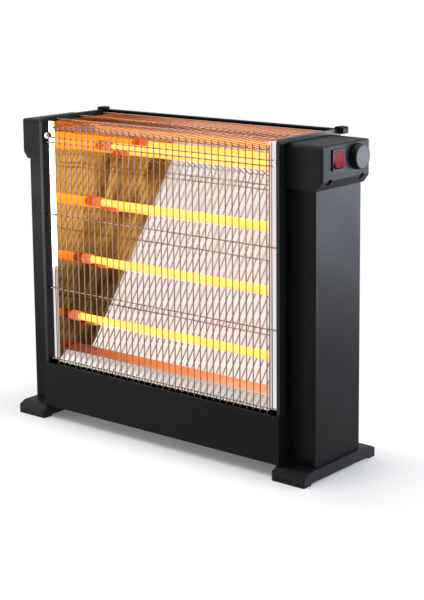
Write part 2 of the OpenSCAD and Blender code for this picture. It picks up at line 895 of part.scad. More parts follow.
// Ceramic end with the tube socket, a collar against the side frame and a stud
module ceramic_ends() {
    for (p = tube_places)
        translate([0, p[0], p[1]])
            rotate([0, 90, 0])
                rotate_extrude()
                    polygon([
                        [0, coil_end + 0.3], [coil_r + 0.3, coil_end + 0.3],
                        [coil_r + 0.3, ceramic_in + socket_l], [tube_r + run_gap, ceramic_in + socket_l],
                        [tube_r + run_gap, ceramic_in], [ceramic_r - 0.6, ceramic_in],
                        [ceramic_r, ceramic_in + 0.6], [ceramic_r, frame_in - ceramic_collar_t],
                        [ceramic_collar_r, frame_in - ceramic_collar_t],
                        [ceramic_collar_r, frame_in - seat_gap],
                        [ceramic_neck_r, frame_in - seat_gap], [ceramic_neck_r, ceramic_out],
                        [stud_r, ceramic_out], [stud_r, stud_out], [0, stud_out]]);
}

module left_ceramic_ends() {
    color("#e6d2be") centred()
        mirror([1, 0, 0])
            ceramic_ends();
}

module right_ceramic_ends() {
    color("#e6d2be") centred()
        ceramic_ends();
}

// Flat link bar along a list of places, with holes for the studs
module link_bar(places) {
    along_x(bar_x, bar_x + bar_t)
        difference() {
            union() {
                for (p = places)
                    translate(p)
                        circle(d = bar_w + 2);
                for (k = [0:len(places) - 2])
                    let (a = places[k], b = places[k + 1])
                        translate(a)
                            rotate(atan2(b[1] - a[1], b[0] - a[0]))
                                translate([0, -bar_w / 2])
                                    square([norm(b - a), bar_w]);
            }
            for (p = tube_places)
                translate(p)
                    circle(r = stud_r + 0.1);
        }
}

module left_link_bar() {
    color("#c8c4bc") centred()
        mirror([1, 0, 0])
            link_bar([for (k = [4, 0, 1, 2, 3]) tube_places[k]]);
}

module right_link_bars() {
    color("#c8c4bc") centred() {
        link_bar(top_link);
        link_bar(middle_link);
        link_bar(low_tab);
    }
}

module terminal_nuts() {
    color("#b8a25a") centred()
        for (s = [0, 1])
            mirror([s, 0, 0])
                for (p = tube_places)
                    translate([bar_x + bar_t + seat_gap / 2, p[0], p[1]])
                        rotate([0, 90, 0])
                            difference() {
                                cylinder(d = 8, h = 3, $fn = 6);
                                translate([0, 0, -1])
                                    cylinder(r = stud_r + run_gap, h = 5);
                            }
}

// ---------- controls ----------

module at_rocker() {
    translate([cap_out, -rocker_y, control_z])
        children();
}

module at_knob() {
    translate([cap_out, knob_y, control_z])
        children();
}

// Blade terminals that stand out of the back of a switch, at places [y, z]
module blades(back, places) {
    for (p = places)
        box([-back - blade_l, p[0] - blade_w / 2, p[1] - blade_t / 2],
            [-back + 1, p[0] + blade_w / 2, p[1] + blade_t / 2]);
}

module rocker_switch_housing() {
    half_w = bezel_w / 2;
    half_h = bezel_h / 2;
    pin_reach = rocker_w / 2 + 1.4;
    color("#3a3a40") centred()
        at_rocker()
            difference() {
                union() {
                    along_x(seat_gap / 2, bezel_t)
                        polygon(rounded([
                            [-half_w, -half_h, 2], [half_w, -half_h, 2],
                            [half_w, half_h, 2], [-half_w, half_h, 2]]));
                    box([-rocker_back, -half_w + bezel_lap, -half_h + bezel_lap],
                        [1, half_w - bezel_lap, half_h - bezel_lap]);
                    blades(rocker_back, [for (y = [-1, 1], z = [-1, 0, 1]) [y, z] * blade_step]);
                }
                box([-rocker_depth, -rocker_w / 2, -rocker_h / 2], [5, rocker_w / 2, rocker_h / 2]);
                translate([-rocker_pivot, pin_reach, 0])
                    rotate([90, 0, 0])
                        cylinder(r = rocker_pin_d / 2 + run_gap, h = 2 * pin_reach);
            }
}

module rocker_button() {
    half = rocker_h / 2 - 1.2;
    half_w = rocker_w / 2 - 0.3;
    pin_reach = rocker_w / 2 + 1.1;
    // Outline of the upper half, with a shallow hollow between its two ends
    upper = [
        [5.4, 0], [5.9, half * 0.5], [6.8, half], [2, half + 0.3],
        [-4, half * 0.72], [-6.5, half * 0.3]];
    color("#c01018") centred()
        at_rocker()
            translate([-rocker_pivot, 0, 0])
                rotate([0, -rocker_tilt, 0]) {
                    along_y(-half_w, half_w)
                        polygon(concat(upper, [for (i = [5:-1:1]) [upper[i][0], -upper[i][1]]]));
                    translate([0, pin_reach, 0])
                        rotate([90, 0, 0])
                            cylinder(d = rocker_pin_d, h = 2 * pin_reach);
                }
}

module selector_knob() {
    r = knob_d / 2;
    color("#141416") centred()
        at_knob()
            difference() {
                rotate([0, 90, 0])
                    rotate_extrude($fn = 72)
                        polygon([
                            [bush_d / 2 + 4.5, move_gap], [r - 0.5, move_gap], [r, move_gap + 0.6],
                            [r, knob_skirt_h - 0.5], [knob_grip_r, knob_skirt_h],
                            [knob_grip_r - 0.3, knob_h - 0.6], [knob_grip_r - 0.8, knob_h],
                            [knob_disc_r + 0.1, knob_h],
                            [knob_disc_r + 0.1, knob_h - 1], [0, knob_h - 1],
                            [0, knob_h - 2.2], [shaft_d / 2 + 0.02, knob_h - 2.2],
                            [shaft_d / 2 + 0.02, nut_h + 1.6], [bush_d / 2 + 4.5, nut_h + 1.6]]);
                // Grip flutes round the side
                for (i = [0:23])
                    rotate([i * 15, 0, 0])
                        bar_x_at(knob_skirt_h + 0.4, knob_h - 1.6, knob_grip_r + 0.5, 0, 1.1, $fn = 16);
            }
}

module knob_face_disc() {
    color("#8a8c98") centred()
        at_knob()
            rotate([0, 90, 0])
                rotate_extrude($fn = 72)
                    polygon([
                        [0, knob_h - 0.95], [knob_disc_r, knob_h - 0.95],
                        [knob_disc_r, knob_h + 0.2], [knob_disc_r - 0.8, knob_h + knob_dome],
                        [knob_disc_r - 2.4, knob_h + 0.3], [0, knob_h + 0.3]]);
}

module selector_shaft() {
    color("#c9c9c4") centred()
        at_knob()
            bar_x_at(-selector_back + 2, knob_h - 2.4, 0, 0, shaft_d / 2);
}

// Blade places of the selector: three switched ones behind, one over the other, and the common one in front
selector_outs = [for (k = [1, 0, -1]) [blade_step, k * blade_step]];
selector_common = [-blade_step, blade_step];

module selector_switch() {
    half = selector_body / 2;
    color("#d9d2c0") centred()
        at_knob()
            difference() {
                union() {
                    box([-selector_back, -half, -half], [-cap_wall - seat_gap, half, half]);
                    bar_x_at(-cap_wall - 1, nut_h + 1, 0, 0, bush_d / 2);
                    blades(selector_back, concat(selector_outs, [selector_common]));
                }
                bar_x_at(-selector_back + 1.8, nut_h + 2, 0, 0, shaft_d / 2 + run_gap);
            }
}

module selector_nut() {
    color("#b9b9b4") centred()
        at_knob()
            translate([seat_gap / 2, 0, 0])
                rotate([0, 90, 0])
                    difference() {
                        cylinder(d = bush_d + 6, h = nut_h, $fn = 6);
                        translate([0, 0, -1])
                            cylinder(d = bush_d + 0.1, h = nut_h + 2);
                    }
}

// ---------- wiring ----------

module terminal_block() {
    half = block_size / 2;
    color("#e4e0d4") centred()
        translate([block_x, block_y, block_z])
            difference() {
                box(-half, half);
                for (y = [-1, 0, 1])
                    bar_x_at(half[0] - 8, half[0] + 1, y * blade_step, 0, 2);
            }
}

// Point just behind the tip of a switch blade
function blade_tip(middle_y, back, place) =
    [cap_out - back - blade_l - seat_gap, middle_y + place[0], control_z + place[1]];

// Insulated leads from the terminal block up to the lower blades of the rocker switch
module supply_leads() {
    drop = [2 * lead_bend, 0, 0];
    color("#5a4634") centred()
        for (k = [-1, 1]) {
            tip = blade_tip(-rocker_y, rocker_back, [k, -1] * blade_step);
            seat = [block_x, tip[1], block_z + block_size[2] / 2 + seat_gap];
            low = [tip[0] - drop[0], tip[1], seat[2] + 18];
            lead([tip, tip - drop, low, [seat[0], seat[1], low[2]], seat], lead_r, lead_bend);
        }
}

// Lead from the rocker switch to the common blade of the selector switch
module switch_link_lead() {
    from = blade_tip(-rocker_y, rocker_back, [1, 1] * blade_step);
    to = blade_tip(knob_y, selector_back, selector_common);
    x = min(from[0], to[0]) - 2 * lead_bend;
    color("#5a4634") centred()
        lead([from, [x, from[1], from[2]], [x, to[1], to[2]], to], lead_r, lead_bend);
}

// Height of a sloping link bar at a place along Y
function link_z(link, y) =
    link[0][1] + (link[1][1] - link[0][1]) * (y - link[0][0]) / (link[1][0] - link[0][0]);

// Leads from the selector switch to the right link bars
module selector_leads() {
    tips = [for (p = selector_outs) blade_tip(knob_y, selector_back, p)];
    // The three leads run down one behind the other, clear of the supply leads
    step = lead_d + 1;
    first = blade_tip(-rocker_y, rocker_back, [0, 0])[0] - 2 * lead_bend - step;
    x = [first - 2 * step, first - step, first];
    middle = (middle_link[0] + middle_link[1]) / 2;
    low = low_tab[0] * 0.3 + low_tab[1] * 0.7;
    color("#8c3a2a") centred() {
        lead([tips[0], [x[0], tips[0][1], tips[0][2]], [x[0], tips[0][1], link_z(top_link, tips[0][1])],
              [bar_face, tips[0][1], link_z(top_link, tips[0][1])]], lead_r, lead_bend);
        lead([tips[1], [x[1], tips[1][1], tips[1][2]], [x[1], tips[1][1], middle[1]],
              [x[1], middle[0], middle[1]], [bar_face, middle[0], middle[1]]], lead_r, lead_bend);
        lead([tips[2], [x[2], tips[2][1], tips[2][2]], [x[2], tips[2][1], low[1]],
              [x[2], low[0], low[1]], [bar_face, low[0], low[1]]], lead_r, lead_bend);
    }
}

// Return lead from the left link bar, under the reflector, to the terminal block
module return_lead() {
    z = link_z([tube_places[3], tube_places[2]], block_y);
    x = -(bar_face + 18);
    color("#2c4a8c") centred()
        lead([[-bar_face, block_y, z], [x, block_y, z], [x, block_y, return_z],
              [block_x, block_y, return_z], [block_x, block_y, block_z - block_size[2] / 2 - seat_gap]],
             lead_r, lead_bend);
}

module cord_gland() {
    wall = column_d / 2;
    color("#18181a") centred()
        translate([(column_in + column_out) / 2, wall, gland_z])
            rotate([90, 0, 0])
                difference() {
                    union() {
                        translate([0, 0, -5])
                            cylinder(r = 9, h = 5 - seat_gap);
                        translate([0, 0, -6])
                            cylinder(r = gland_hole_r, h = 14);
                    }
                    translate([0, 0, -10])
                        cylinder(r = gland_bore_r, h = 30);
                }
}

// ---------- screws ----------

// Pan-head screw along -X, with its head's underside at x = 0
module side_screw(length) {
    rotate([0, 90, 0])
        difference() {
            union() {
                cylinder(d = screw_head_d, h = screw_head_h);
                translate([0, 0, -length])
                    cylinder(d = screw_core_d, h = length + 0.5);
            }
            for (a = [0, 90])
                rotate(a)
                    translate([-2.2, -0.4, screw_head_h - 1])
                        cube([4.4, 0.8, 2]);
        }
}

module cap_screws() {
    color("#4a4a4e") centred()
        for (s = [0, 1])
            mirror([s, 0, 0])
                for (y = [-cap_screw_y, cap_screw_y])
                    translate([cap_skirt + cap_wall + 0.05, y, cap_screw_z])
                        side_screw(cap_screw_l);
}

module foot_screws() {
    color("#4a4a4e") centred()
        for (s = [0, 1])
            mirror([s, 0, 0])
                for (y = [-foot_screw_y, foot_screw_y])
                    translate([frame_in + foot_w / 2, y, foot_h - foot_skin - seat_gap / 2])
                        rotate([0, 90, 0])
                            side_screw(foot_screw_l);
}

left_foot();
right_foot();
left_side_frame();
right_side_frame();
left_column();
right_column();
left_top_cap();
right_control_housing();
front_base_panel();
base_pan();
back_panel();
rear_top_rail();
rear_corner_clips();
rear_reflector();
left_end_reflector();
right_end_reflector();
front_guard_wires();
top_guard_wires();
guard_cross_wires();
top_cross_wires();
guard_washers();
guard_screws();
quartz_tube_1();
quartz_tube_2();
quartz_tube_3();
quartz_tube_4();
quartz_tube_5();
heating_coil_1();
heating_coil_2();
heating_coil_3();
heating_coil_4();
heating_coil_5();
left_ceramic_ends();
right_ceramic_ends();
left_link_bar();
right_link_bars();
terminal_nuts();
rocker_switch_housing();
rocker_button();
selector_knob();
knob_face_disc();
selector_shaft();
selector_switch();
selector_nut();
terminal_block();
supply_leads();
switch_link_lead();
selector_leads();
return_lead();
cord_gland();
cap_screws();
foot_screws();
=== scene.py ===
import math

import bmesh
import bpy
from bpy.props import FloatProperty, FloatVectorProperty, IntProperty, PointerProperty
from bpy.types import Operator, Panel, PropertyGroup
from mathutils import Matrix, Vector


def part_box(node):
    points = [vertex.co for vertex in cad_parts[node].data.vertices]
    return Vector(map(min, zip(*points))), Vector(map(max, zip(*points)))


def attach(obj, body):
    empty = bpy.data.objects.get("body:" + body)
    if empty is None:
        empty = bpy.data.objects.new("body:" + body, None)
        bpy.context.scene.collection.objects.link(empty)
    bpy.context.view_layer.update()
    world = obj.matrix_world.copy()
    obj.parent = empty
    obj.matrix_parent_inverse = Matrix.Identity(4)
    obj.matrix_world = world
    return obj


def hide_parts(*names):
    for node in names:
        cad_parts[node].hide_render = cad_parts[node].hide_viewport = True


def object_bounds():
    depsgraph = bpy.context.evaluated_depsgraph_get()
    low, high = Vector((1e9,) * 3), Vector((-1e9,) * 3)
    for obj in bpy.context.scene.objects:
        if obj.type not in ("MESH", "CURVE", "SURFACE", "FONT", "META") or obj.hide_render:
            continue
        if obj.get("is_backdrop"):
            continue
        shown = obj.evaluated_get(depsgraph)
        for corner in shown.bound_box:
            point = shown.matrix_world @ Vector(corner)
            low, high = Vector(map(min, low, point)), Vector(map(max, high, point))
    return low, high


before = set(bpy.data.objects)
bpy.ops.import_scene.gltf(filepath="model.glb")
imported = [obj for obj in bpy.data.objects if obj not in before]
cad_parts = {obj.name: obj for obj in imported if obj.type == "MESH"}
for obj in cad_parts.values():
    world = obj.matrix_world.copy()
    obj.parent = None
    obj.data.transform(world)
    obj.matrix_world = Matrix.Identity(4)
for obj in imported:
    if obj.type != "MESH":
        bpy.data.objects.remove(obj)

bl_info = {
    "name": "Bar Heater",
    "version": (1, 0, 0),
    "blender": (4, 5, 0),
    "location": "View3D > Sidebar > Heater",
    "description": "Finishes the bar heater's pieces and sets up a plain studio for it",
    "category": "Object",
}

MM = 0.001
TUBES = range(1, 6)
BODY = "heater"
WHITE = (1.0, 1.0, 1.0)


# ---------------------------------------------------------------- settings

def colour(name, description, default):
    """A linear colour that a user would change."""
    return FloatVectorProperty(name=name, description=description, default=default,
                               subtype="COLOR", size=3, min=0.0, max=1.0)


def length(name, description, default_mm):
    """A size, given in millimetres and kept in metres."""
    return FloatProperty(name=name, description=description, default=default_mm * MM,
                         unit="LENGTH", min=0.0)


class HeaterSizes(PropertyGroup):
    """Sizes of the pieces that are modelled here."""
    wire_count: IntProperty(
        name="Guard wires", description="Number of upright guard wires", default=35, min=2)
    wire_sides: IntProperty(
        name="Wire sides", description="Sides of a round guard wire", default=12, min=6)
    coil_wire: length("Coil wire", "Diameter of the heating wire", 0.8)
    coil_pitch: length("Coil pitch", "Distance from one turn of a coil to the next", 1.9)
    sheet_gauge: length("Reflector sheet", "Thickness of the reflector sheet", 0.6)
    sheet_return: length("Sheet return", "Depth of the reflector's folded-back edges", 7.0)
    lip_drop: length("Lip drop", "How far the lip reaches below the edge of the CAD reflector", 5.0)
    lip_height: length("Lip height", "Height of the reflector's front lip", 5.5)
    slope_depth: length("Slope depth", "Depth of the slope behind the lip", 8.0)
    slope_height: length("Slope height", "Height of the slope behind the lip", 17.5)
    mirror_setback: length("Setback", "From the lip to where the leaning back's line starts", 34.5)
    foot_level: length("Foot level", "Height at which the leaning back's line starts", 112.0)
    shelf_level: length("Shelf level", "Height at which the shelf meets the back", 122.0)
    knee_drop: length("Knee drop", "From the frame's top to the bend of the back", 46.0)
    knee_reach: length("Knee reach", "Length of the bend of the back on each side", 6.3)
    moulding_edge: length("Moulding edge", "Rounding of the edges of the moulded pieces", 0.7)
    sheet_edge: length("Sheet edge", "Rounding of the painted sheets' cut edges", 0.25)
    switch_edge: length("Switch edge", "Rounding of the edges of the switch and the knob", 0.4)
    panel_screw: length("Panel screw", "Head diameter of the back panel's screws", 7.0)
    screw_inset: length("Screw inset", "From the back panel's edges to its outer screws", 12.0)


class HeaterColours(PropertyGroup):
    """Colours of the finishes."""
    column_paint: colour("Columns", "Powder coat of the two columns", (0.004, 0.004, 0.005))
    frame_paint: colour("Side frames", "Powder coat of the two side frames", (0.010, 0.010, 0.011))
    panel_paint: colour("Panels", "Powder coat of the base, back and rail", (0.006, 0.006, 0.0065))
    cap_plastic: colour("Caps", "Moulded plastic of the two caps", (0.006, 0.006, 0.0072))
    foot_plastic: colour("Feet", "Moulded plastic of the two feet", (0.006, 0.006, 0.007))
    mirror: colour("Reflector", "Polished reflector sheet", (0.97, 0.88, 0.82))
    flange: colour("Flanges", "Front flanges of the end plates", (0.84, 0.80, 0.80))
    # A gold reflection painted into the end plates' colour
    painted_gold_reflection: colour("Painted reflection", "Gold reflection painted on the end plates", (0.86, 0.47, 0.10))
    wire: colour("Guard wire", "Plated wire of the guard", (0.34, 0.24, 0.205))
    ceramic: colour("Ceramic", "Ceramic ends of the tubes", (0.62, 0.36, 0.20))
    tube_glow: colour("Tube glow", "Light of the quartz around the coil", (1.0, 0.38, 0.06))
    coil_glow: colour("Coil glow", "Light of the heating coil", (1.0, 0.66, 0.10))
    switch_red: colour("Switch", "Red of the rocker button", (0.23, 0.005, 0.008))
    knob_face: colour("Knob face", "Grey disc on the knob", (0.030, 0.031, 0.040))


class HeaterStudio(PropertyGroup):
    """Camera, lamps and floor."""
    camera_place: FloatVectorProperty(
        name="Camera place", description="Where the camera stands", subtype="TRANSLATION",
        unit="LENGTH", size=3, default=(1.52715, -1.7832, 0.7846))
    camera_yaw: FloatProperty(
        name="Camera turn", description="Turn of the camera to the left of the depth axis",
        subtype="ANGLE", default=math.radians(39.67))
    camera_pitch: FloatProperty(
        name="Camera dip", description="How far the camera looks down",
        subtype="ANGLE", default=math.radians(9.67))
    camera_roll: FloatProperty(
        name="Camera roll", description="Turn of the camera about its own line of sight",
        subtype="ANGLE", default=math.radians(-0.54))
    lens: FloatProperty(
        name="Lens", description="Focal length in millimetres, on a frame with a long side of 36",
        default=90.19)
    shift: FloatProperty(
        name="Shift", description="Vertical shift of the frame, as a share of its height",
        default=-1 / 6)
    side_power: FloatProperty(
        name="Side lamp", description="Power of the low wide lamp at the right", unit="POWER",
        default=30.0)
    top_power: FloatProperty(
        name="Top lamp", description="Power of the lamp overhead", unit="POWER", default=26.0)
    left_power: FloatProperty(
        name="Left lamp", description="Power of the small low lamp at the left", unit="POWER",
        default=4.0)
    soft_light: FloatProperty(
        name="Soft light", description="Strength of the light from all round", default=0.5)
    floor_size: FloatProperty(
        name="Floor", description="Length of the square floor's side", unit="LENGTH", default=14.0)
    floor_colour: colour("Floor colour", "Colour of the pale floor", (0.95, 0.95, 0.95))


def sizes():
    """The sizes set for this scene."""
    return bpy.context.scene.heater_sizes


def colours():
    """The colours set for this scene."""
    return bpy.context.scene.heater_colours


def studio():
    """The studio set for this scene."""
    return bpy.context.scene.heater_studio


# ---------------------------------------------------------------- shader effects

def new_group(name, inputs, outputs):
    """An empty shader node group with named float inputs and named outputs."""
    tree = bpy.data.node_groups.new(name, "ShaderNodeTree")
    for label, value in inputs.items():
        socket = tree.interface.new_socket(name=label, in_out="INPUT", socket_type="NodeSocketFloat")
        socket.default_value = value
    for label in outputs:
        tree.interface.new_socket(name=label, in_out="OUTPUT", socket_type="NodeSocketFloat")
    return tree, tree.nodes.new("NodeGroupInput"), tree.nodes.new("NodeGroupOutput")


def node(tree, kind, **values):
    """A shader node; values name its properties, or its inputs by index or label in `at`."""
    made = tree.nodes.new("ShaderNode" + kind)
    for key, value in values.pop("at", {}).items():
        made.inputs[key].default_value = value
    for key, value in values.items():
        setattr(made, key, value)
    return made


def maths(tree, operation, first, second=None):
    """A Math node on two sockets or numbers, and its result."""
    made = node(tree, "Math", operation=operation)
    for slot, value in enumerate((first, second)):
        if value is None:
            continue
        if isinstance(value, (int, float)):
            made.inputs[slot].default_value = value
        else:
            tree.links.new(value, made.inputs[slot])
    return made.outputs[0]


def remap(tree, value, low, high, to_low=0.0, to_high=1.0):
    """A value remapped from one range to another, and clamped."""
    made = node(tree, "MapRange", at={1: low, 2: high, 3: to_low, 4: to_high})
    tree.links.new(value, made.inputs[0])
    return made.outputs[0]


def axis_part(tree, vector, axis):
    """One axis of a vector."""
    split = node(tree, "SeparateXYZ")
    tree.links.new(vector, split.inputs[0])
    return split.outputs[axis]


def object_noise(tree, scale, detail=3.0, stretch=(1.0, 1.0, 1.0)):
    """Noise on the piece's own place; its scale, in waves per metre, may be a socket."""
    place = node(tree, "TexCoord")
    mapping = node(tree, "Mapping", at={"Scale": stretch})
    noise = node(tree, "TexNoise", at={"Detail": detail})
    tree.links.new(place.outputs["Object"], mapping.inputs["Vector"])
    tree.links.new(mapping.outputs["Vector"], noise.inputs["Vector"])
    if isinstance(scale, (int, float)):
        noise.inputs["Scale"].default_value = scale
    else:
        tree.links.new(scale, noise.inputs["Scale"])
    return noise.outputs["Fac"]


def build_grain():
    """Fine pimples of a moulded or powder-coated face."""
    tree, inside, outside = new_group("Fine grain", {"Scale": 1400.0, "Cloud": 14.0},
                                      ["Height", "Tone"])
    fine = object_noise(tree, inside.outputs["Scale"], detail=2.0)
    cloud = object_noise(tree, inside.outputs["Cloud"], detail=4.0)
    tree.links.new(fine, outside.inputs["Height"])
    tree.links.new(remap(tree, cloud, low=0.3, high=0.7), outside.inputs["Tone"])
    return tree


def build_dust():
    """Dust that settles on faces that look up, in uneven patches."""
    tree, inside, outside = new_group("Settled dust", {"Amount": 0.5}, ["Mask"])
    facing = node(tree, "NewGeometry")
    up = remap(tree, axis_part(tree, facing.outputs["Normal"], "Z"), low=0.6, high=1.0)
    patches = remap(tree, object_noise(tree, scale=55.0, detail=6.0), low=0.42, high=0.72)
    both = maths(tree, "MULTIPLY", up, patches)
    tree.links.new(maths(tree, "MULTIPLY", both, inside.outputs["Amount"]), outside.inputs["Mask"])
    return tree


def build_rolling():
    """Faint lines of rolled sheet along the width, and the slow waves of thin sheet."""
    tree, inside, outside = new_group("Rolled sheet", {"Lines": 260.0, "Waves": 9.0},
                                      ["Lines", "Waves", "Smears"])
    lines = object_noise(tree, inside.outputs["Lines"], detail=3.0, stretch=(0.02, 1.0, 1.0))
    waves = object_noise(tree, inside.outputs["Waves"], detail=1.0)
    smears = object_noise(tree, scale=26.0, detail=5.0, stretch=(1.0, 1.0, 0.35))
    tree.links.new(lines, outside.inputs["Lines"])
    tree.links.new(waves, outside.inputs["Waves"])
    tree.links.new(remap(tree, smears, low=0.45, high=0.75), outside.inputs["Smears"])
    return tree


def build_drawing():
    """Draw marks along a wire or turned part, and slight tarnish."""
    tree, inside, outside = new_group("Drawn metal", {"Marks": 900.0, "Tarnish": 60.0},
                                      ["Marks", "Tarnish"])
    marks = object_noise(tree, inside.outputs["Marks"], detail=2.0, stretch=(1.0, 1.0, 0.06))
    tarnish = object_noise(tree, inside.outputs["Tarnish"], detail=5.0)
    tree.links.new(marks, outside.inputs["Marks"])
    tree.links.new(remap(tree, tarnish, low=0.4, high=0.7), outside.inputs["Tarnish"])
    return tree


def build_scratches():
    """Short fine scratches in two directions."""
    tree, inside, outside = new_group("Handling scratches", {"Scale": 120.0}, ["Mask"])
    first = object_noise(tree, inside.outputs["Scale"], detail=2.0, stretch=(0.05, 1.0, 1.4))
    second = object_noise(tree, inside.outputs["Scale"], detail=2.0, stretch=(1.2, 0.9, 0.05))
    sharp = maths(tree, "MAXIMUM", remap(tree, first, low=0.66, high=0.70),
                  remap(tree, second, low=0.68, high=0.72))
    where = remap(tree, object_noise(tree, scale=12.0, detail=2.0), low=0.5, high=0.65)
    tree.links.new(maths(tree, "MULTIPLY", sharp, where), outside.inputs["Mask"])
    return tree


EFFECTS = {
    "grain": build_grain,
    "dust": build_dust,
    "rolling": build_rolling,
    "drawing": build_drawing,
    "scratches": build_scratches,
}
effect_trees = {}
finishes = {}


def effect(tree, name, **values):
    """Places a shared effect in a material, with its own values, and returns its outputs."""
    if name not in effect_trees:
        effect_trees[name] = EFFECTS[name]()
    made = tree.nodes.new("ShaderNodeGroup")
    made.node_tree = effect_trees[name]
    for label, value in values.items():
        made.inputs[label].default_value = value
    return made.outputs


# ---------------------------------------------------------------- materials

def new_material(name, base, roughness, metallic=0.0, **sockets):
    """A material with one Principled shader; returns its tree and that shader."""
    material = bpy.data.materials.new(name)
    material.use_nodes = True
    tree = material.node_tree
    shader = tree.nodes["Principled BSDF"]
    shader.inputs["Base Color"].default_value = (*base, 1.0)
    shader.inputs["Roughness"].default_value = roughness
    shader.inputs["Metallic"].default_value = metallic
    for label, value in sockets.items():
        shader.inputs[label.replace("_", " ")].default_value = value
    finishes[name] = material
    return tree, shader


def blend_colour(tree, factor, first, second):
    """A colour between two, by a mask."""
    made = node(tree, "Mix", data_type="RGBA")
    tree.links.new(factor, made.inputs[0])
    for slot, value in ((6, first), (7, second)):
        if isinstance(value, bpy.types.NodeSocket):
            tree.links.new(value, made.inputs[slot])
        else:
            made.inputs[slot].default_value = (*value, 1.0)
    return made.outputs[2]


def blend_shaders(tree, factor, first, second, output):
    """Shows the second shader where a mask is 1, and the first where it is 0."""
    made = node(tree, "MixShader")
    tree.links.new(factor, made.inputs[0])
    tree.links.new(first.outputs[0], made.inputs[1])
    tree.links.new(second.outputs[0], made.inputs[2])
    tree.links.new(made.outputs[0], tree.nodes[output].inputs["Surface"])


def bump(tree, shader, height, strength, distance=0.2 * MM):
    """Raises the surface by a height pattern, on top of any bump that is there."""
    made = node(tree, "Bump", at={"Strength": strength, "Distance": distance})
    tree.links.new(height, made.inputs["Height"])
    if shader.inputs["Normal"].is_linked:
        tree.links.new(shader.inputs["Normal"].links[0].from_socket, made.inputs["Normal"])
    tree.links.new(made.outputs["Normal"], shader.inputs["Normal"])


def shade(base, factor):
    """A colour made lighter or darker."""
    return tuple(min(1.0, part * factor) for part in base)


# Linear colours that a user has no need to change
DUST = (0.20, 0.19, 0.18)
GLOSS_BLACK = (0.006, 0.006, 0.007)
SWITCH_BODY = (0.62, 0.57, 0.46)
LEADS = {
    "Brown lead": (0.16, 0.08, 0.04),
    "Red lead": (0.35, 0.05, 0.03),
    "Blue lead": (0.05, 0.10, 0.35),
}
# Copper colour that paints the tubes' glow reflected on the reflector's top and shelf
GLOW_REFLECTION_COPPER = (0.58, 0.34, 0.22)
ZINC = (0.62, 0.61, 0.58)
BRASS = (0.66, 0.50, 0.20)
LINK_STRIP = (0.52, 0.49, 0.45)
BLACK_STEEL = (0.05, 0.05, 0.055)
QUARTZ = (0.8, 0.4, 0.10)
QUARTZ_RIM = (0.62, 0.20, 0.006)
HOT_WIRE = (0.5, 0.2, 0.05)
CERAMIC_GLOW = (1.0, 0.10, 0.008)

# Shares of a coat's own colour in its clouds and scratches, and how far its roughness strays
CLOUD_SHADES = (0.85, 1.2)
SCRATCH_SHADE = 2.2
CLOUD_GLOSS = (-0.04, 0.05)

# Share of the mirror's colour in the slope's dull sheet, where the darkening is painted shade, and in
# smears, and the roughness that smears add
SLOPE_SHADE_SHARE = 0.72
SMEAR_SHADE = 0.94
SMEAR_HAZE = 0.05

# The painted gold reflection on the end plates is full above the second height, in metres, and only a
# share of it below the first, so it darkens towards the bottom
REFLECTION_LEVELS = (0.24, 0.33)
LOW_REFLECTION_SHARE = 0.2

# How far a normal points along the width where a face starts to be an end plate, and where it is
SIDEWAYS = (0.6, 0.8)


def coated(name, base, roughness, specular, dust, grain=1400.0, depth=0.12):
    """Powder coat or moulded plastic: a fine grain, cloudy gloss, dust and a few scratches."""
    tree, shader = new_material(name, base, roughness, Specular_IOR_Level=specular)
    texture = effect(tree, "grain", Scale=grain)
    settled = effect(tree, "dust", Amount=dust)
    marks = effect(tree, "scratches")
    cloudy = blend_colour(tree, texture["Tone"], *(shade(base, share) for share in CLOUD_SHADES))
    worn = blend_colour(tree, marks["Mask"], cloudy, shade(base, SCRATCH_SHADE))
    tree.links.new(blend_colour(tree, settled["Mask"], worn, DUST), shader.inputs["Base Color"])
    gloss = remap(tree, texture["Tone"], 0.0, 1.0, *(roughness + step for step in CLOUD_GLOSS))
    tree.links.new(gloss, shader.inputs["Roughness"])
    bump(tree, shader, texture["Height"], depth)


def sideways(tree):
    """1 on faces that look along the width, such as the end plates."""
    facing = node(tree, "NewGeometry")
    across = axis_part(tree, facing.outputs["True Normal"], "X")
    return remap(tree, maths(tree, "ABSOLUTE", across), *SIDEWAYS)


def polished(name, base, roughness, waves, tint=None):
    """Polished sheet with rolling lines, slow waves and smears; a tint paints a gold reflection on its
    end plates, darker towards the bottom.
    """
    tree, shader = new_material(name, base, roughness, metallic=1.0)
    sheet = effect(tree, "rolling")
    clean = blend_colour(tree, sheet["Smears"], base, shade(base, SMEAR_SHADE))
    wavy = sheet["Waves"]
    # The tint is a painted gold reflection on the end plates: full high up, darker towards the bottom
    if tint:
        plate = sideways(tree)
        place = node(tree, "TexCoord")
        level = remap(tree, axis_part(tree, place.outputs["Object"], "Z"), *REFLECTION_LEVELS)
        painted_reflection = blend_colour(tree, level, shade(tint, LOW_REFLECTION_SHARE), tint)
        clean = blend_colour(tree, plate, clean, painted_reflection)
        wavy = maths(tree, "MULTIPLY", wavy, plate)
    tree.links.new(clean, shader.inputs["Base Color"])
    tree.links.new(remap(tree, sheet["Smears"], 0.0, 1.0, roughness, roughness + SMEAR_HAZE),
                   shader.inputs["Roughness"])
    bump(tree, shader, wavy, waves, distance=1.2 * MM)
    bump(tree, shader, sheet["Lines"], strength=0.04, distance=0.1 * MM)


def drawn(name, base, roughness, tarnish=0.75, haze=0.12):
    """Drawn or turned metal with draw marks, and tarnish that darkens and dulls it."""
    tree, shader = new_material(name, base, roughness, metallic=1.0)
    metal = effect(tree, "drawing")
    tree.links.new(blend_colour(tree, metal["Tarnish"], base, shade(base, tarnish)),
                   shader.inputs["Base Color"])
    tree.links.new(remap(tree, metal["Tarnish"], 0.0, 1.0, roughness, roughness + haze),
                   shader.inputs["Roughness"])
    bump(tree, shader, metal["Marks"], strength=0.15, distance=0.1 * MM)


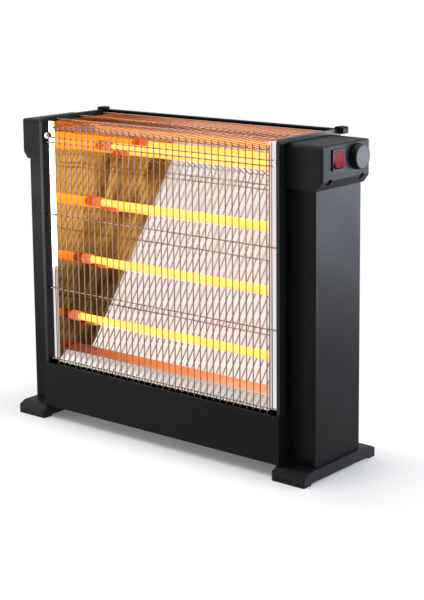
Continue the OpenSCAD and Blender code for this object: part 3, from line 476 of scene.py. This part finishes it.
def glowing(name, base, glow, edge, strength, alpha=1.0):
    """A lit surface, a little uneven along its length and deeper in colour at its outline."""
    tree, shader = new_material(name, base, roughness=0.18, Emission_Strength=strength, Alpha=alpha)
    uneven = object_noise(tree, scale=30.0, detail=2.0, stretch=(1.0, 0.2, 0.2))
    dim = shade(glow, 0.9)
    middle = blend_colour(tree, remap(tree, uneven, low=0.35, high=0.65), dim, glow)
    outline = node(tree, "LayerWeight", at={"Blend": 0.35})
    tree.links.new(blend_colour(tree, outline.outputs["Facing"], middle, edge),
                   shader.inputs["Emission Color"])


def ceramic_finish(name, base, painted_glow):
    """Unglazed ceramic: chalky, pitted, and lit a little by the tube inside it."""
    tree, shader = new_material(name, base, roughness=0.62, Emission_Strength=painted_glow)
    texture = effect(tree, "grain", Scale=700.0, Cloud=90.0)
    stained = shade(base, 0.82)
    tree.links.new(blend_colour(tree, texture["Tone"], stained, base), shader.inputs["Base Color"])
    # The emission is a painted glow that stands for the tube's light on the ceramic
    shader.inputs["Emission Color"].default_value = (*CERAMIC_GLOW, 1.0)
    bump(tree, shader, texture["Height"], strength=0.3)


def build_finishes():
    """Every finish of the heater."""
    paint = colours()
    coated("Column powder coat", paint.column_paint, roughness=0.36, specular=0.08, dust=0.02)
    coated("Frame powder coat", paint.frame_paint, roughness=0.38, specular=0.22, dust=0.04)
    coated("Panel powder coat", paint.panel_paint, roughness=0.45, specular=0.08, dust=0.02)
    coated("Cap plastic", paint.cap_plastic, roughness=0.56, specular=0.17, grain=1100.0, depth=0.18,
           dust=0.03)
    coated("Foot plastic", paint.foot_plastic, roughness=0.50, specular=0.15, grain=1000.0, depth=0.2,
           dust=0.04)
    coated("Gloss black plastic", GLOSS_BLACK, roughness=0.42, specular=0.10, grain=900.0, depth=0.03,
           dust=0.03)
    coated("Switch red", paint.switch_red, roughness=0.42, specular=0.03, grain=700.0, depth=0.02,
           dust=0.0)
    coated("Switch body", SWITCH_BODY, roughness=0.5, specular=0.4, grain=900.0, dust=0.1)
    for name, base in LEADS.items():
        coated(name, base, roughness=0.5, specular=0.4, grain=800.0, dust=0.1)
    polished("Reflector sheet", paint.mirror, roughness=0.04, waves=0.2)
    polished("Heat-tinted sheet", GLOW_REFLECTION_COPPER, roughness=0.40, waves=0.3)
    # The slope is the reflector's own sheet, rougher, and darker as painted shade
    polished("Dull sheet", shade(paint.mirror, SLOPE_SHADE_SHARE), roughness=0.22, waves=0.3)
    # The end plates take a painted gold reflection
    polished("End reflector sheet", paint.flange, roughness=0.03, waves=0.8, tint=paint.painted_gold_reflection)
    drawn("Plated wire", paint.wire, roughness=0.24)
    drawn("Zinc plate", ZINC, roughness=0.3)
    drawn("Brass", BRASS, roughness=0.28)
    drawn("Link strip", LINK_STRIP, roughness=0.36, tarnish=0.55)
    drawn("Blackened steel", BLACK_STEEL, roughness=0.38)
    coated("Knob face grey", paint.knob_face, roughness=0.38, specular=0.12, grain=1200.0, depth=0.06,
           dust=0.0)
    glowing("Lit quartz", QUARTZ, paint.tube_glow, QUARTZ_RIM, strength=2.3, alpha=0.8)
    glowing("Hot coil", HOT_WIRE, paint.coil_glow, paint.coil_glow, strength=3.4)
    ceramic_finish("Warm ceramic", paint.ceramic, painted_glow=0.6)


CAD_FINISHES = {
    "Column powder coat": ["left_column", "right_column"],
    "Frame powder coat": ["left_side_frame", "right_side_frame"],
    "Panel powder coat": ["front_base_panel", "back_panel", "base_pan", "rear_top_rail",
                          "rear_corner_clips"],
    "Cap plastic": ["left_top_cap", "right_control_housing"],
    "Foot plastic": ["left_foot", "right_foot", "cord_gland"],
    "Gloss black plastic": ["rocker_switch_housing", "selector_knob"],
    "Switch red": ["rocker_button"],
    "Switch body": ["selector_switch", "terminal_block"],
    "Brown lead": ["supply_leads", "switch_link_lead"],
    "Red lead": ["selector_leads"],
    "Blue lead": ["return_lead"],
    "Reflector sheet": ["rear_reflector"],
    "End reflector sheet": ["left_end_reflector", "right_end_reflector"],
    "Plated wire": ["front_guard_wires", "top_guard_wires", "guard_cross_wires", "top_cross_wires"],
    "Zinc plate": ["guard_washers", "guard_screws", "selector_shaft", "selector_nut"],
    "Brass": ["terminal_nuts"],
    "Link strip": ["left_link_bar", "right_link_bars"],
    "Blackened steel": ["cap_screws", "foot_screws"],
    "Knob face grey": ["knob_face_disc"],
    "Lit quartz": [f"quartz_tube_{k}" for k in TUBES],
    "Hot coil": [f"heating_coil_{k}" for k in TUBES],
    "Warm ceramic": ["left_ceramic_ends", "right_ceramic_ends"],
}


def finish_of(name):
    """The finish that a CAD node gets."""
    return next(key for key, names in CAD_FINISHES.items() if name in names)


def wear(piece, *names):
    """Gives a piece its finishes; its faces take the first of them."""
    piece.data.materials.clear()
    for name in names:
        piece.data.materials.append(finishes[name])


# ---------------------------------------------------------------- modelling helpers

# In a CAD mesh, points closer than this are merged, and so are faces within this many degrees
MERGE_GAP = 0.005 * MM
FLAT_ANGLE = 1.0

# Two lengths that differ by less are taken for the same
SAME_PLACE = 0.05 * MM

# A face looks along an axis when its normal does by more than this share
SQUARE_ON = 0.9


def nothing():
    """Deselects every object."""
    bpy.ops.object.select_all(action="DESELECT")


def only(piece):
    """Selects one object and makes it active."""
    nothing()
    piece.select_set(True)
    bpy.context.view_layer.objects.active = piece


def apply_all(piece):
    """Puts a piece's place, turn and scale into its mesh."""
    only(piece)
    bpy.ops.object.transform_apply(location=True, rotation=True, scale=True)


def smooth(piece, degrees=35.0):
    """Smooth shading with sharp edges above an angle."""
    only(piece)
    bpy.ops.object.shade_smooth_by_angle(angle=math.radians(degrees))


def apply_modifier(piece, kind, name, **values):
    """Adds a modifier with its values and applies it."""
    only(piece)
    modifier = piece.modifiers.new(name, kind)
    for key, value in values.items():
        setattr(modifier, key, value)
    bpy.ops.object.modifier_apply(modifier=name)


def copy_at(piece, name, matrix):
    """A copy of a piece with its own mesh, moved by a matrix that goes into the mesh."""
    made = bpy.data.objects.new(name, piece.data.copy())
    bpy.context.collection.objects.link(made)
    made.data.transform(matrix)
    return made


def join(pieces, name):
    """Joins pieces into the first of them."""
    nothing()
    for piece in pieces:
        piece.select_set(True)
    bpy.context.view_layer.objects.active = pieces[0]
    bpy.ops.object.join()
    pieces[0].name = name
    return pieces[0]


def pick_faces(piece, test):
    """In edit mode, selects the faces whose normal passes a test."""
    mesh = bmesh.from_edit_mesh(piece.data)
    for face in mesh.faces:
        face.select_set(bool(test(face.normal)))
    mesh.select_flush(True)
    bmesh.update_edit_mesh(piece.data)


def near(value, target):
    """Whether two lengths are the same."""
    return abs(value - target) < SAME_PLACE


def pick_fold(piece, y, z):
    """In edit mode, selects the edges that run along the width through one Y-Z point."""
    mesh = bmesh.from_edit_mesh(piece.data)
    for part in (*mesh.verts, *mesh.edges, *mesh.faces):
        part.select = False
    for edge in mesh.edges:
        if all(near(end.co.y, y) and near(end.co.z, z) for end in edge.verts):
            edge.select_set(True)
    bmesh.update_edit_mesh(piece.data)


def edit(piece, mode="FACE"):
    """Enters edit mode on one piece with nothing selected in it."""
    only(piece)
    bpy.ops.object.mode_set(mode="EDIT")
    bpy.ops.mesh.select_mode(type=mode)
    bpy.ops.mesh.select_all(action="DESELECT")


def leave_edit():
    """Back to object mode."""
    bpy.ops.object.mode_set(mode="OBJECT")


def refined(cad_name, piece_name, edge, body=BODY, angle=30.0):
    """Puts a copy with rounded edges in the place of a CAD node."""
    piece = copy_at(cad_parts[cad_name], piece_name, Matrix.Identity(4))
    edit(piece, "VERT")
    bpy.ops.mesh.select_all(action="SELECT")
    bpy.ops.mesh.remove_doubles(threshold=MERGE_GAP)
    bpy.ops.mesh.dissolve_limited(angle_limit=math.radians(FLAT_ANGLE))
    leave_edit()
    apply_modifier(piece, "BEVEL", "Edges", width=edge, segments=2, limit_method="ANGLE",
                   angle_limit=math.radians(angle), miter_outer="MITER_ARC", use_clamp_overlap=True)
    smooth(piece)
    apply_modifier(piece, "WEIGHTED_NORMAL", "Flat faces", keep_sharp=True, weight=100)
    wear(piece, finish_of(cad_name))
    settle(piece, body, cad_name)


def settle(piece, body, *cad_names):
    """Fixes a piece to its body, and lets it stand for the CAD nodes it replaces."""
    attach(piece, body)
    if cad_names:
        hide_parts(*cad_names)


# ---------------------------------------------------------------- pieces

class HEATER_OT_plain_finishes(Operator):
    """Gives every CAD node its own finish"""
    bl_idname = "heater.plain_finishes"
    bl_label = "Finishes"

    def execute(self, context):
        build_finishes()
        for finish, names in CAD_FINISHES.items():
            for name in names:
                wear(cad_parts[name], finish)
        return {"FINISHED"}


class HEATER_OT_mouldings(Operator):
    """Rounds the edges of the moulded caps and feet"""
    bl_idname = "heater.mouldings"
    bl_label = "Caps and feet"

    def execute(self, context):
        for name in ("left_top_cap", "right_control_housing", "left_foot", "right_foot"):
            refined(name, name + "_moulding", sizes().moulding_edge)
        return {"FINISHED"}


class HEATER_OT_sheets(Operator):
    """Softens the cut edges and the bends of the painted sheets"""
    bl_idname = "heater.sheets"
    bl_label = "Columns, frames and panels"

    def execute(self, context):
        for name in ("left_column", "right_column", "left_side_frame", "right_side_frame",
                     "front_base_panel", "rear_top_rail", "rear_corner_clips"):
            refined(name, name + "_sheet", sizes().sheet_edge)
        return {"FINISHED"}


# Steps of the bend at the top of a guard wire
WIRE_BEND_STEPS = 9


def wire_radius():
    """Half the thickness of a guard wire."""
    low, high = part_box("top_guard_wires")
    return (high[2] - low[2]) / 2


def guard_wire(name, sides):
    """One guard wire: up the front, round the bend and back over the top."""
    front_low, front_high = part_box("front_guard_wires")
    top_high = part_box("top_guard_wires")[1]
    radius = wire_radius()
    x, y = front_low[0] + radius, front_low[1] + radius
    turn = front_high[1] - y
    top = front_high[2] - radius
    nothing()
    bpy.ops.mesh.primitive_circle_add(vertices=sides, radius=radius, fill_type="NGON",
                                      location=(x, y, front_low[2]))
    wire = bpy.context.object
    wire.name = name
    apply_all(wire)
    edit(wire)
    bpy.ops.mesh.select_all(action="SELECT")
    rise = top - turn - front_low[2]
    bpy.ops.mesh.extrude_region_move(TRANSFORM_OT_translate={"value": (0, 0, rise)})
    bpy.ops.mesh.spin(steps=WIRE_BEND_STEPS, angle=-math.pi / 2, center=(x, y + turn, top - turn),
                      axis=(1, 0, 0))
    run = top_high[1] - y - turn
    bpy.ops.mesh.extrude_region_move(TRANSFORM_OT_translate={"value": (0, run, 0)})
    bpy.ops.mesh.select_all(action="SELECT")
    bpy.ops.mesh.normals_make_consistent(inside=False)
    leave_edit()
    return wire


class HEATER_OT_guard(Operator):
    """Bends the guard wires and sets them side by side"""
    bl_idname = "heater.guard"
    bl_label = "Wire guard"

    def execute(self, context):
        size = sizes()
        low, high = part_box("front_guard_wires")
        step = (high[0] - low[0] - 2 * wire_radius()) / (size.wire_count - 1)
        first = guard_wire("guard_wires", size.wire_sides)
        wires = [first] + [copy_at(first, f"wire_{k}", Matrix.Translation((k * step, 0, 0)))
                           for k in range(1, size.wire_count)]
        guard = join(wires, "guard_wires")
        smooth(guard, degrees=50.0)
        wear(guard, "Plated wire")
        settle(guard, BODY, "front_guard_wires", "top_guard_wires")
        return {"FINISHED"}


# Reach and steps of the reflector's bends, from the top down; the knee's reach is a setting
TOP_BEND = (0.8 * MM, 3)
KNEE_STEPS = 12
FOOT_BEND = (1.2 * MM, 4)
SLOPE_BEND = (0.9 * MM, 4)
LIP_BEND = (0.5 * MM, 3)

# The shelf's faces look up by more than this share, and lie this far beyond its two ends at most
SHELF_UP = 0.6
SHELF_BELOW = 0.3 * MM
SHELF_ABOVE = 0.5 * MM

# Finishes of the reflector's back, of its top and shelf, and of its slope, with their indexes; the top
# and shelf carry the tubes' glow as a painted copper reflection, the slope a painted shade
REFLECTOR_FINISHES = ("Reflector sheet", "Heat-tinted sheet", "Dull sheet")
GLOW_PAINTED = 1
SHADED_SLOPE = 2


def fold_sheet(name, path, x0, x1, bends):
    """A sheet folded along a Y-Z path; each bend is the index of its point, its reach and steps."""
    nothing()
    bpy.ops.mesh.primitive_plane_add(size=1.0)
    sheet = bpy.context.object
    sheet.name = name
    (y0, z0), (y1, z1) = path[0], path[1]
    sheet.scale = (x1 - x0, math.hypot(y1 - y0, z1 - z0), 1.0)
    sheet.location = ((x0 + x1) / 2, (y0 + y1) / 2, (z0 + z1) / 2)
    sheet.rotation_euler = (math.atan2(z1 - z0, y1 - y0), 0, 0)
    apply_all(sheet)
    edit(sheet, "EDGE")
    for (y0, z0), (y1, z1) in zip(path[1:], path[2:]):
        pick_fold(sheet, y0, z0)
        bpy.ops.mesh.extrude_region_move(TRANSFORM_OT_translate={"value": (0, y1 - y0, z1 - z0)})
    for index, reach, steps in bends:
        pick_fold(sheet, *path[index])
        bpy.ops.mesh.bevel(offset=reach, offset_type="OFFSET", segments=steps)
    leave_edit()
    return sheet


def shelf_back(foot_y, knee_z, back, size):
    """Where the shelf meets the leaning back of the reflector."""
    lean = (back - foot_y) / (knee_z - size.foot_level)
    z = size.shelf_level
    return (foot_y + (z - size.foot_level) * lean, z)


class HEATER_OT_reflector(Operator):
    """Folds the rear reflector with its lip, its slope, its shelf and its leaning back"""
    bl_idname = "heater.reflector"
    bl_label = "Rear reflector"

    def execute(self, context):
        size = sizes()
        low, high = (Vector(corner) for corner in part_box("rear_reflector"))
        front, top, back = low.y, high.z, high.y
        knee_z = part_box("left_side_frame")[1][2] - size.knee_drop
        lip_low = low.z - size.lip_drop
        lip_top = lip_low + size.lip_height
        slope_top = (front + size.slope_depth, lip_top + size.slope_height)
        foot = shelf_back(front + size.mirror_setback, knee_z, back, size)
        path = [(front + size.sheet_return, lip_low), (front, lip_low), (front, lip_top), slope_top,
                foot, (back, knee_z), (back, top), (back - size.sheet_return, top)]
        bends = [(6, *TOP_BEND), (5, size.knee_reach, KNEE_STEPS), (4, *FOOT_BEND),
                 (3, *SLOPE_BEND), (2, *LIP_BEND)]
        sheet = fold_sheet("rear_reflector_sheet", path, low.x, high.x, bends)
        apply_modifier(sheet, "SOLIDIFY", "Gauge", thickness=size.sheet_gauge, offset=-1.0)
        smooth(sheet, degrees=40.0)
        wear(sheet, *REFLECTOR_FINISHES)
        for face in sheet.data.polygons:
            z = face.center.z
            shelf = slope_top[1] - SHELF_BELOW < z < foot[1] + SHELF_ABOVE and face.normal.z > SHELF_UP
            # The top and shelf get the painted glow reflection, the slope a painted shade
            if shelf or z > knee_z:
                face.material_index = GLOW_PAINTED
            elif lip_top < z < slope_top[1]:
                face.material_index = SHADED_SLOPE
        settle(sheet, BODY, "rear_reflector")
        return {"FINISHED"}


# Sides of the heating wire, and steps of one turn of a coil
COIL_SIDES = 6
COIL_STEPS = 12


class HEATER_OT_coils(Operator):
    """Winds a heating coil inside each tube"""
    bl_idname = "heater.coils"
    bl_label = "Heating coils"

    def execute(self, context):
        size = sizes()
        for k in TUBES:
            name = f"heating_coil_{k}"
            low, high = (Vector(corner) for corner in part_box(name))
            middle = (low + high) / 2
            radius = (high.z - low.z) / 2 - size.coil_wire / 2
            turns = int((high.x - low.x - size.coil_wire) / size.coil_pitch)
            nothing()
            bpy.ops.mesh.primitive_circle_add(
                vertices=COIL_SIDES, radius=size.coil_wire / 2, rotation=(math.pi / 2, 0, 0),
                location=(low.x + size.coil_wire / 2, 0, radius))
            coil = bpy.context.object
            coil.name = f"coil_winding_{k}"
            apply_all(coil)
            apply_modifier(coil, "SCREW", "Winding", axis="X", screw_offset=size.coil_pitch,
                           iterations=turns, steps=COIL_STEPS, render_steps=COIL_STEPS,
                           use_smooth_shade=True)
            coil.data.transform(Matrix.Translation((0, middle.y, middle.z)))
            edit(coil, "EDGE")
            bpy.ops.mesh.select_non_manifold()
            bpy.ops.mesh.fill_holes(sides=0)
            bpy.ops.mesh.select_all(action="SELECT")
            bpy.ops.mesh.normals_make_consistent(inside=False)
            leave_edit()
            wear(coil, "Hot coil")
            settle(coil, BODY, name)
        return {"FINISHED"}


class HEATER_OT_switches(Operator):
    """Rounds the edges of the rocker switch and the selector knob"""
    bl_idname = "heater.switches"
    bl_label = "Switch and knob"

    def execute(self, context):
        edge = sizes().switch_edge
        refined("rocker_switch_housing", "rocker_bezel", edge)
        refined("rocker_button", "rocker_key", edge, body="rocker")
        refined("selector_knob", "knob_grip", edge / 2, body="knob", angle=40.0)
        refined("knob_face_disc", "knob_face", 2 * edge, body="knob", angle=40.0)
        return {"FINISHED"}


# Sides of a pan-head screw's head, and its measures as shares of its diameter
HEAD_SIDES = 24
HEAD_DEPTH = 0.3
HEAD_RIM = 0.12
HEAD_CROWN = 0.06
RECESS_LEVEL = 0.2
RECESS_SIZE = (0.5, 0.2, 0.1)


def panel_screw(name, at, diameter):
    """A pan-head screw that faces the back, with a cross recess."""
    nothing()
    bpy.ops.mesh.primitive_cylinder_add(vertices=HEAD_SIDES, radius=diameter / 2,
                                        depth=diameter * HEAD_DEPTH,
                                        rotation=(-math.pi / 2, 0, 0), location=at)
    screw = bpy.context.object
    screw.name = name
    apply_all(screw)
    edit(screw)
    pick_faces(screw, lambda normal: normal.y > SQUARE_ON)
    bpy.ops.mesh.inset(thickness=diameter * HEAD_RIM)
    bpy.ops.transform.translate(value=(0, diameter * HEAD_CROWN, 0))
    leave_edit()
    x, y, z = at
    for turn in (0, math.pi / 2):
        nothing()
        bpy.ops.mesh.primitive_cube_add(size=1.0, location=(x, y + diameter * RECESS_LEVEL, z))
        cutter = bpy.context.object
        cutter.scale = [diameter * share for share in RECESS_SIZE]
        cutter.rotation_euler = (0, turn, 0)
        apply_all(cutter)
        apply_modifier(screw, "BOOLEAN", "Recess", object=cutter, operation="DIFFERENCE",
                       solver="EXACT")
        bpy.data.objects.remove(cutter)
    smooth(screw)
    return screw


class HEATER_OT_fasteners(Operator):
    """Sets the screws of the back panel"""
    bl_idname = "heater.fasteners"
    bl_label = "Back panel screws"

    def execute(self, context):
        diameter = sizes().panel_screw
        inset = sizes().screw_inset
        low, high = (Vector(corner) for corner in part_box("back_panel"))
        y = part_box("left_side_frame")[1][1] + diameter * HEAD_DEPTH / 2
        screws = []
        for x in (low.x + inset, (low.x + high.x) / 2, high.x - inset):
            for z in (low.z + inset, (low.z + high.z) / 2, high.z - inset):
                screws.append(panel_screw(f"screw_{len(screws)}", (x, y, z), diameter))
        group = join(screws, "back_panel_screws")
        wear(group, "Blackened steel")
        settle(group, BODY)
        return {"FINISHED"}


# ---------------------------------------------------------------- stage

# Long side of the camera's frame, in millimetres
FRAME_SIDE = 36.0

# For each lamp: the setting of its power, its place and aim, its width and height, and its colour
LAMPS = {
    "Side lamp": ("side_power", (1.2, 1.1, 0.31), (0.3, 0.0, 0.1), (1.2, 0.6), (0.80, 0.87, 1.0)),
    "Top lamp": ("top_power", (-0.6, -0.2, 2.3), (0.0, 0.0, 0.25), (1.8, 1.8), WHITE),
    "Left lamp": ("left_power", (-1.0, -0.9, 0.2), (-0.28, -0.06, 0.25), (0.5, 0.36), WHITE),
}

# The dark cloth: its colour and direction, and the degrees from there where it starts and is full
CLOTH = (0.03, 0.018, 0.012)
CLOTH_SIDE = (0.62, -0.71, 0.32)
CLOTH_ANGLES = (26, 15)

# How close the cloth's folds lie along each axis, and the noise levels where one starts and is full
FOLD_SCALE = (55.0, 4.0, 8.0)
FOLD_LEVELS = (0.49, 0.56)

# For each axis of the floor: the share of the heater's half size from which distance counts, and
# how many times it counts
FLOOR_AXES = {"X": (1.0, 1.0), "Y": (0.75, 2.2)}

# The floor's fade: the distances where it starts and ends, and how white the floor is at each
FLOOR_FADE = (0.0, 0.15, 0.12, 1.0)


def look_matrix(place, yaw, pitch, roll):
    """The camera's matrix from its place, turn, dip and roll."""
    level = math.cos(pitch)
    ahead = Vector((-math.sin(yaw) * level, math.cos(yaw) * level, -math.sin(pitch)))
    right = Vector((math.cos(yaw), math.sin(yaw), 0.0))
    up = right.cross(ahead)
    across = right * math.cos(roll) + up * math.sin(roll)
    above = up * math.cos(roll) - right * math.sin(roll)
    turn = Matrix((across, above, -ahead)).transposed().to_4x4()
    return Matrix.Translation(place) @ turn


def add_lamp(name, power, place, target, size, tint):
    """A soft rectangular lamp that faces a target and that the camera doesn't see."""
    nothing()
    bpy.ops.object.light_add(type="AREA", location=place)
    lamp = bpy.context.object
    lamp.name = name
    lamp.data.shape = "RECTANGLE"
    lamp.data.size, lamp.data.size_y = size
    lamp.data.energy = power
    lamp.data.color = tint
    lamp.visible_camera = False
    lamp.rotation_euler = (Vector(target) - Vector(place)).to_track_quat("-Z", "Y").to_euler()


def seen_ray(tree, path):
    """1 for the rays that show a background: those of the camera, of metal and of glass."""
    first = maths(tree, "MAXIMUM", path.outputs["Is Camera Ray"], path.outputs["Is Transmission Ray"])
    return maths(tree, "MAXIMUM", first, path.outputs["Is Glossy Ray"])


def cloth_mask(tree):
    """Where the dark cloth behind the camera hangs, by direction, with its upright folds."""
    place = node(tree, "TexCoord")
    along = node(tree, "VectorMath", operation="DOT_PRODUCT")
    tree.links.new(place.outputs["Generated"], along.inputs[0])
    along.inputs[1].default_value = Vector(CLOTH_SIDE).normalized()
    limits = [math.cos(math.radians(angle)) for angle in CLOTH_ANGLES]
    spread = remap(tree, along.outputs["Value"], *limits)
    hang = node(tree, "Mapping", at={"Scale": FOLD_SCALE})
    tree.links.new(place.outputs["Generated"], hang.inputs["Vector"])
    folds = node(tree, "TexNoise", at={"Scale": 1.0, "Detail": 1.0})
    tree.links.new(hang.outputs["Vector"], folds.inputs["Vector"])
    return maths(tree, "MULTIPLY", spread, remap(tree, folds.outputs["Fac"], *FOLD_LEVELS))


def build_world(strength):
    """White for camera, metal and glass, soft light elsewhere, and a cloth that only gloss sees."""
    world = bpy.data.worlds.new("Studio")
    bpy.context.scene.world = world
    world.use_nodes = True
    tree = world.node_tree
    soft = tree.nodes["Background"]
    soft.inputs["Color"].default_value = (*WHITE, 1.0)
    soft.inputs["Strength"].default_value = strength
    white = node(tree, "Background", at={"Strength": 1.0})
    path = node(tree, "LightPath")
    cloth = maths(tree, "MULTIPLY", cloth_mask(tree), path.outputs["Is Glossy Ray"])
    tree.links.new(blend_colour(tree, cloth, WHITE, CLOTH), white.inputs["Color"])
    blend_shaders(tree, seen_ray(tree, path), soft, white, "World Output")


def floor_distance(tree):
    """How far a point of the floor is from the heater's footprint, counted longer front and back."""
    place = node(tree, "TexCoord")
    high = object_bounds()[1]
    squares = []
    for half, (axis, (share, weight)) in zip(high, FLOOR_AXES.items()):
        away = maths(tree, "ABSOLUTE", axis_part(tree, place.outputs["Object"], axis))
        beyond = maths(tree, "MAXIMUM", maths(tree, "SUBTRACT", away, half * share), 0.0)
        beyond = maths(tree, "MULTIPLY", beyond, weight)
        squares.append(maths(tree, "POWER", beyond, 2.0))
    return maths(tree, "SQRT", maths(tree, "ADD", *squares))


def floor_finish(base):
    """A pale matt floor that holds the shadow near the heater and is plain white further out."""
    tree, shader = new_material("Studio floor", base, roughness=0.9, Specular_IOR_Level=0.1)
    uneven = object_noise(tree, scale=3.0)
    patchy = shade(base, 0.985)
    tree.links.new(blend_colour(tree, uneven, patchy, base), shader.inputs["Base Color"])
    out = remap(tree, floor_distance(tree), *FLOOR_FADE)
    path = node(tree, "LightPath")
    white = node(tree, "Emission", at={"Strength": 1.0, "Color": (*WHITE, 1.0)})
    shown = maths(tree, "MULTIPLY", out, seen_ray(tree, path))
    blend_shaders(tree, shown, shader, white, "Material Output")
    return finishes["Studio floor"]


class HEATER_OT_stage(Operator):
    """Sets up the camera, the lamps, the floor and the background"""
    bl_idname = "heater.stage"
    bl_label = "Studio"

    def execute(self, context):
        setup = studio()
        scene = context.scene
        scene.view_settings.view_transform = "Standard"
        camera = bpy.data.objects.new("Camera", bpy.data.cameras.new("Camera"))
        scene.collection.objects.link(camera)
        scene.camera = camera
        camera.data.sensor_width = FRAME_SIDE
        camera.data.lens = setup.lens
        camera.data.shift_y = setup.shift
        camera.matrix_world = look_matrix(Vector(setup.camera_place), setup.camera_yaw,
                                          setup.camera_pitch, setup.camera_roll)
        for name, (power, *rest) in LAMPS.items():
            add_lamp(name, getattr(setup, power), *rest)
        build_world(setup.soft_light)
        nothing()
        bpy.ops.mesh.primitive_plane_add(size=setup.floor_size, location=(0, 0, 0))
        floor = context.object
        floor.name = "studio_floor"
        floor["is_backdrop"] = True
        floor.data.materials.append(floor_finish(setup.floor_colour))
        return {"FINISHED"}


# ---------------------------------------------------------------- panel and start

STEPS = ("plain_finishes", "mouldings", "sheets", "guard", "reflector", "coils", "switches",
         "fasteners", "stage")


class HEATER_PT_panel(Panel):
    """Lists the steps that build the heater's looks, and the settings"""
    bl_label = "Bar Heater"
    bl_idname = "HEATER_PT_panel"
    bl_space_type = "VIEW_3D"
    bl_region_type = "UI"
    bl_category = "Heater"

    def draw(self, context):
        layout = self.layout
        for step in STEPS:
            layout.operator(f"heater.{step}")
        for group in (sizes(), colours(), studio()):
            box = layout.box()
            for name in group.__annotations__:
                box.prop(group, name)


CLASSES = (
    HeaterSizes, HeaterColours, HeaterStudio,
    HEATER_OT_plain_finishes, HEATER_OT_mouldings, HEATER_OT_sheets, HEATER_OT_guard,
    HEATER_OT_reflector, HEATER_OT_coils, HEATER_OT_switches, HEATER_OT_fasteners, HEATER_OT_stage,
    HEATER_PT_panel,
)


def register():
    """Registers the classes and adds the settings to the scene."""
    for item in CLASSES:
        bpy.utils.register_class(item)
    bpy.types.Scene.heater_sizes = PointerProperty(type=HeaterSizes)
    bpy.types.Scene.heater_colours = PointerProperty(type=HeaterColours)
    bpy.types.Scene.heater_studio = PointerProperty(type=HeaterStudio)


def unregister():
    """Removes the settings and the classes."""
    del bpy.types.Scene.heater_studio
    del bpy.types.Scene.heater_colours
    del bpy.types.Scene.heater_sizes
    for item in reversed(CLASSES):
        bpy.utils.unregister_class(item)


def main():
    """Builds the looks step by step."""
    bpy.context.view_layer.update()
    register()
    for step in STEPS:
        getattr(bpy.ops.heater, step)()


if __name__ == "__main__":
    main()
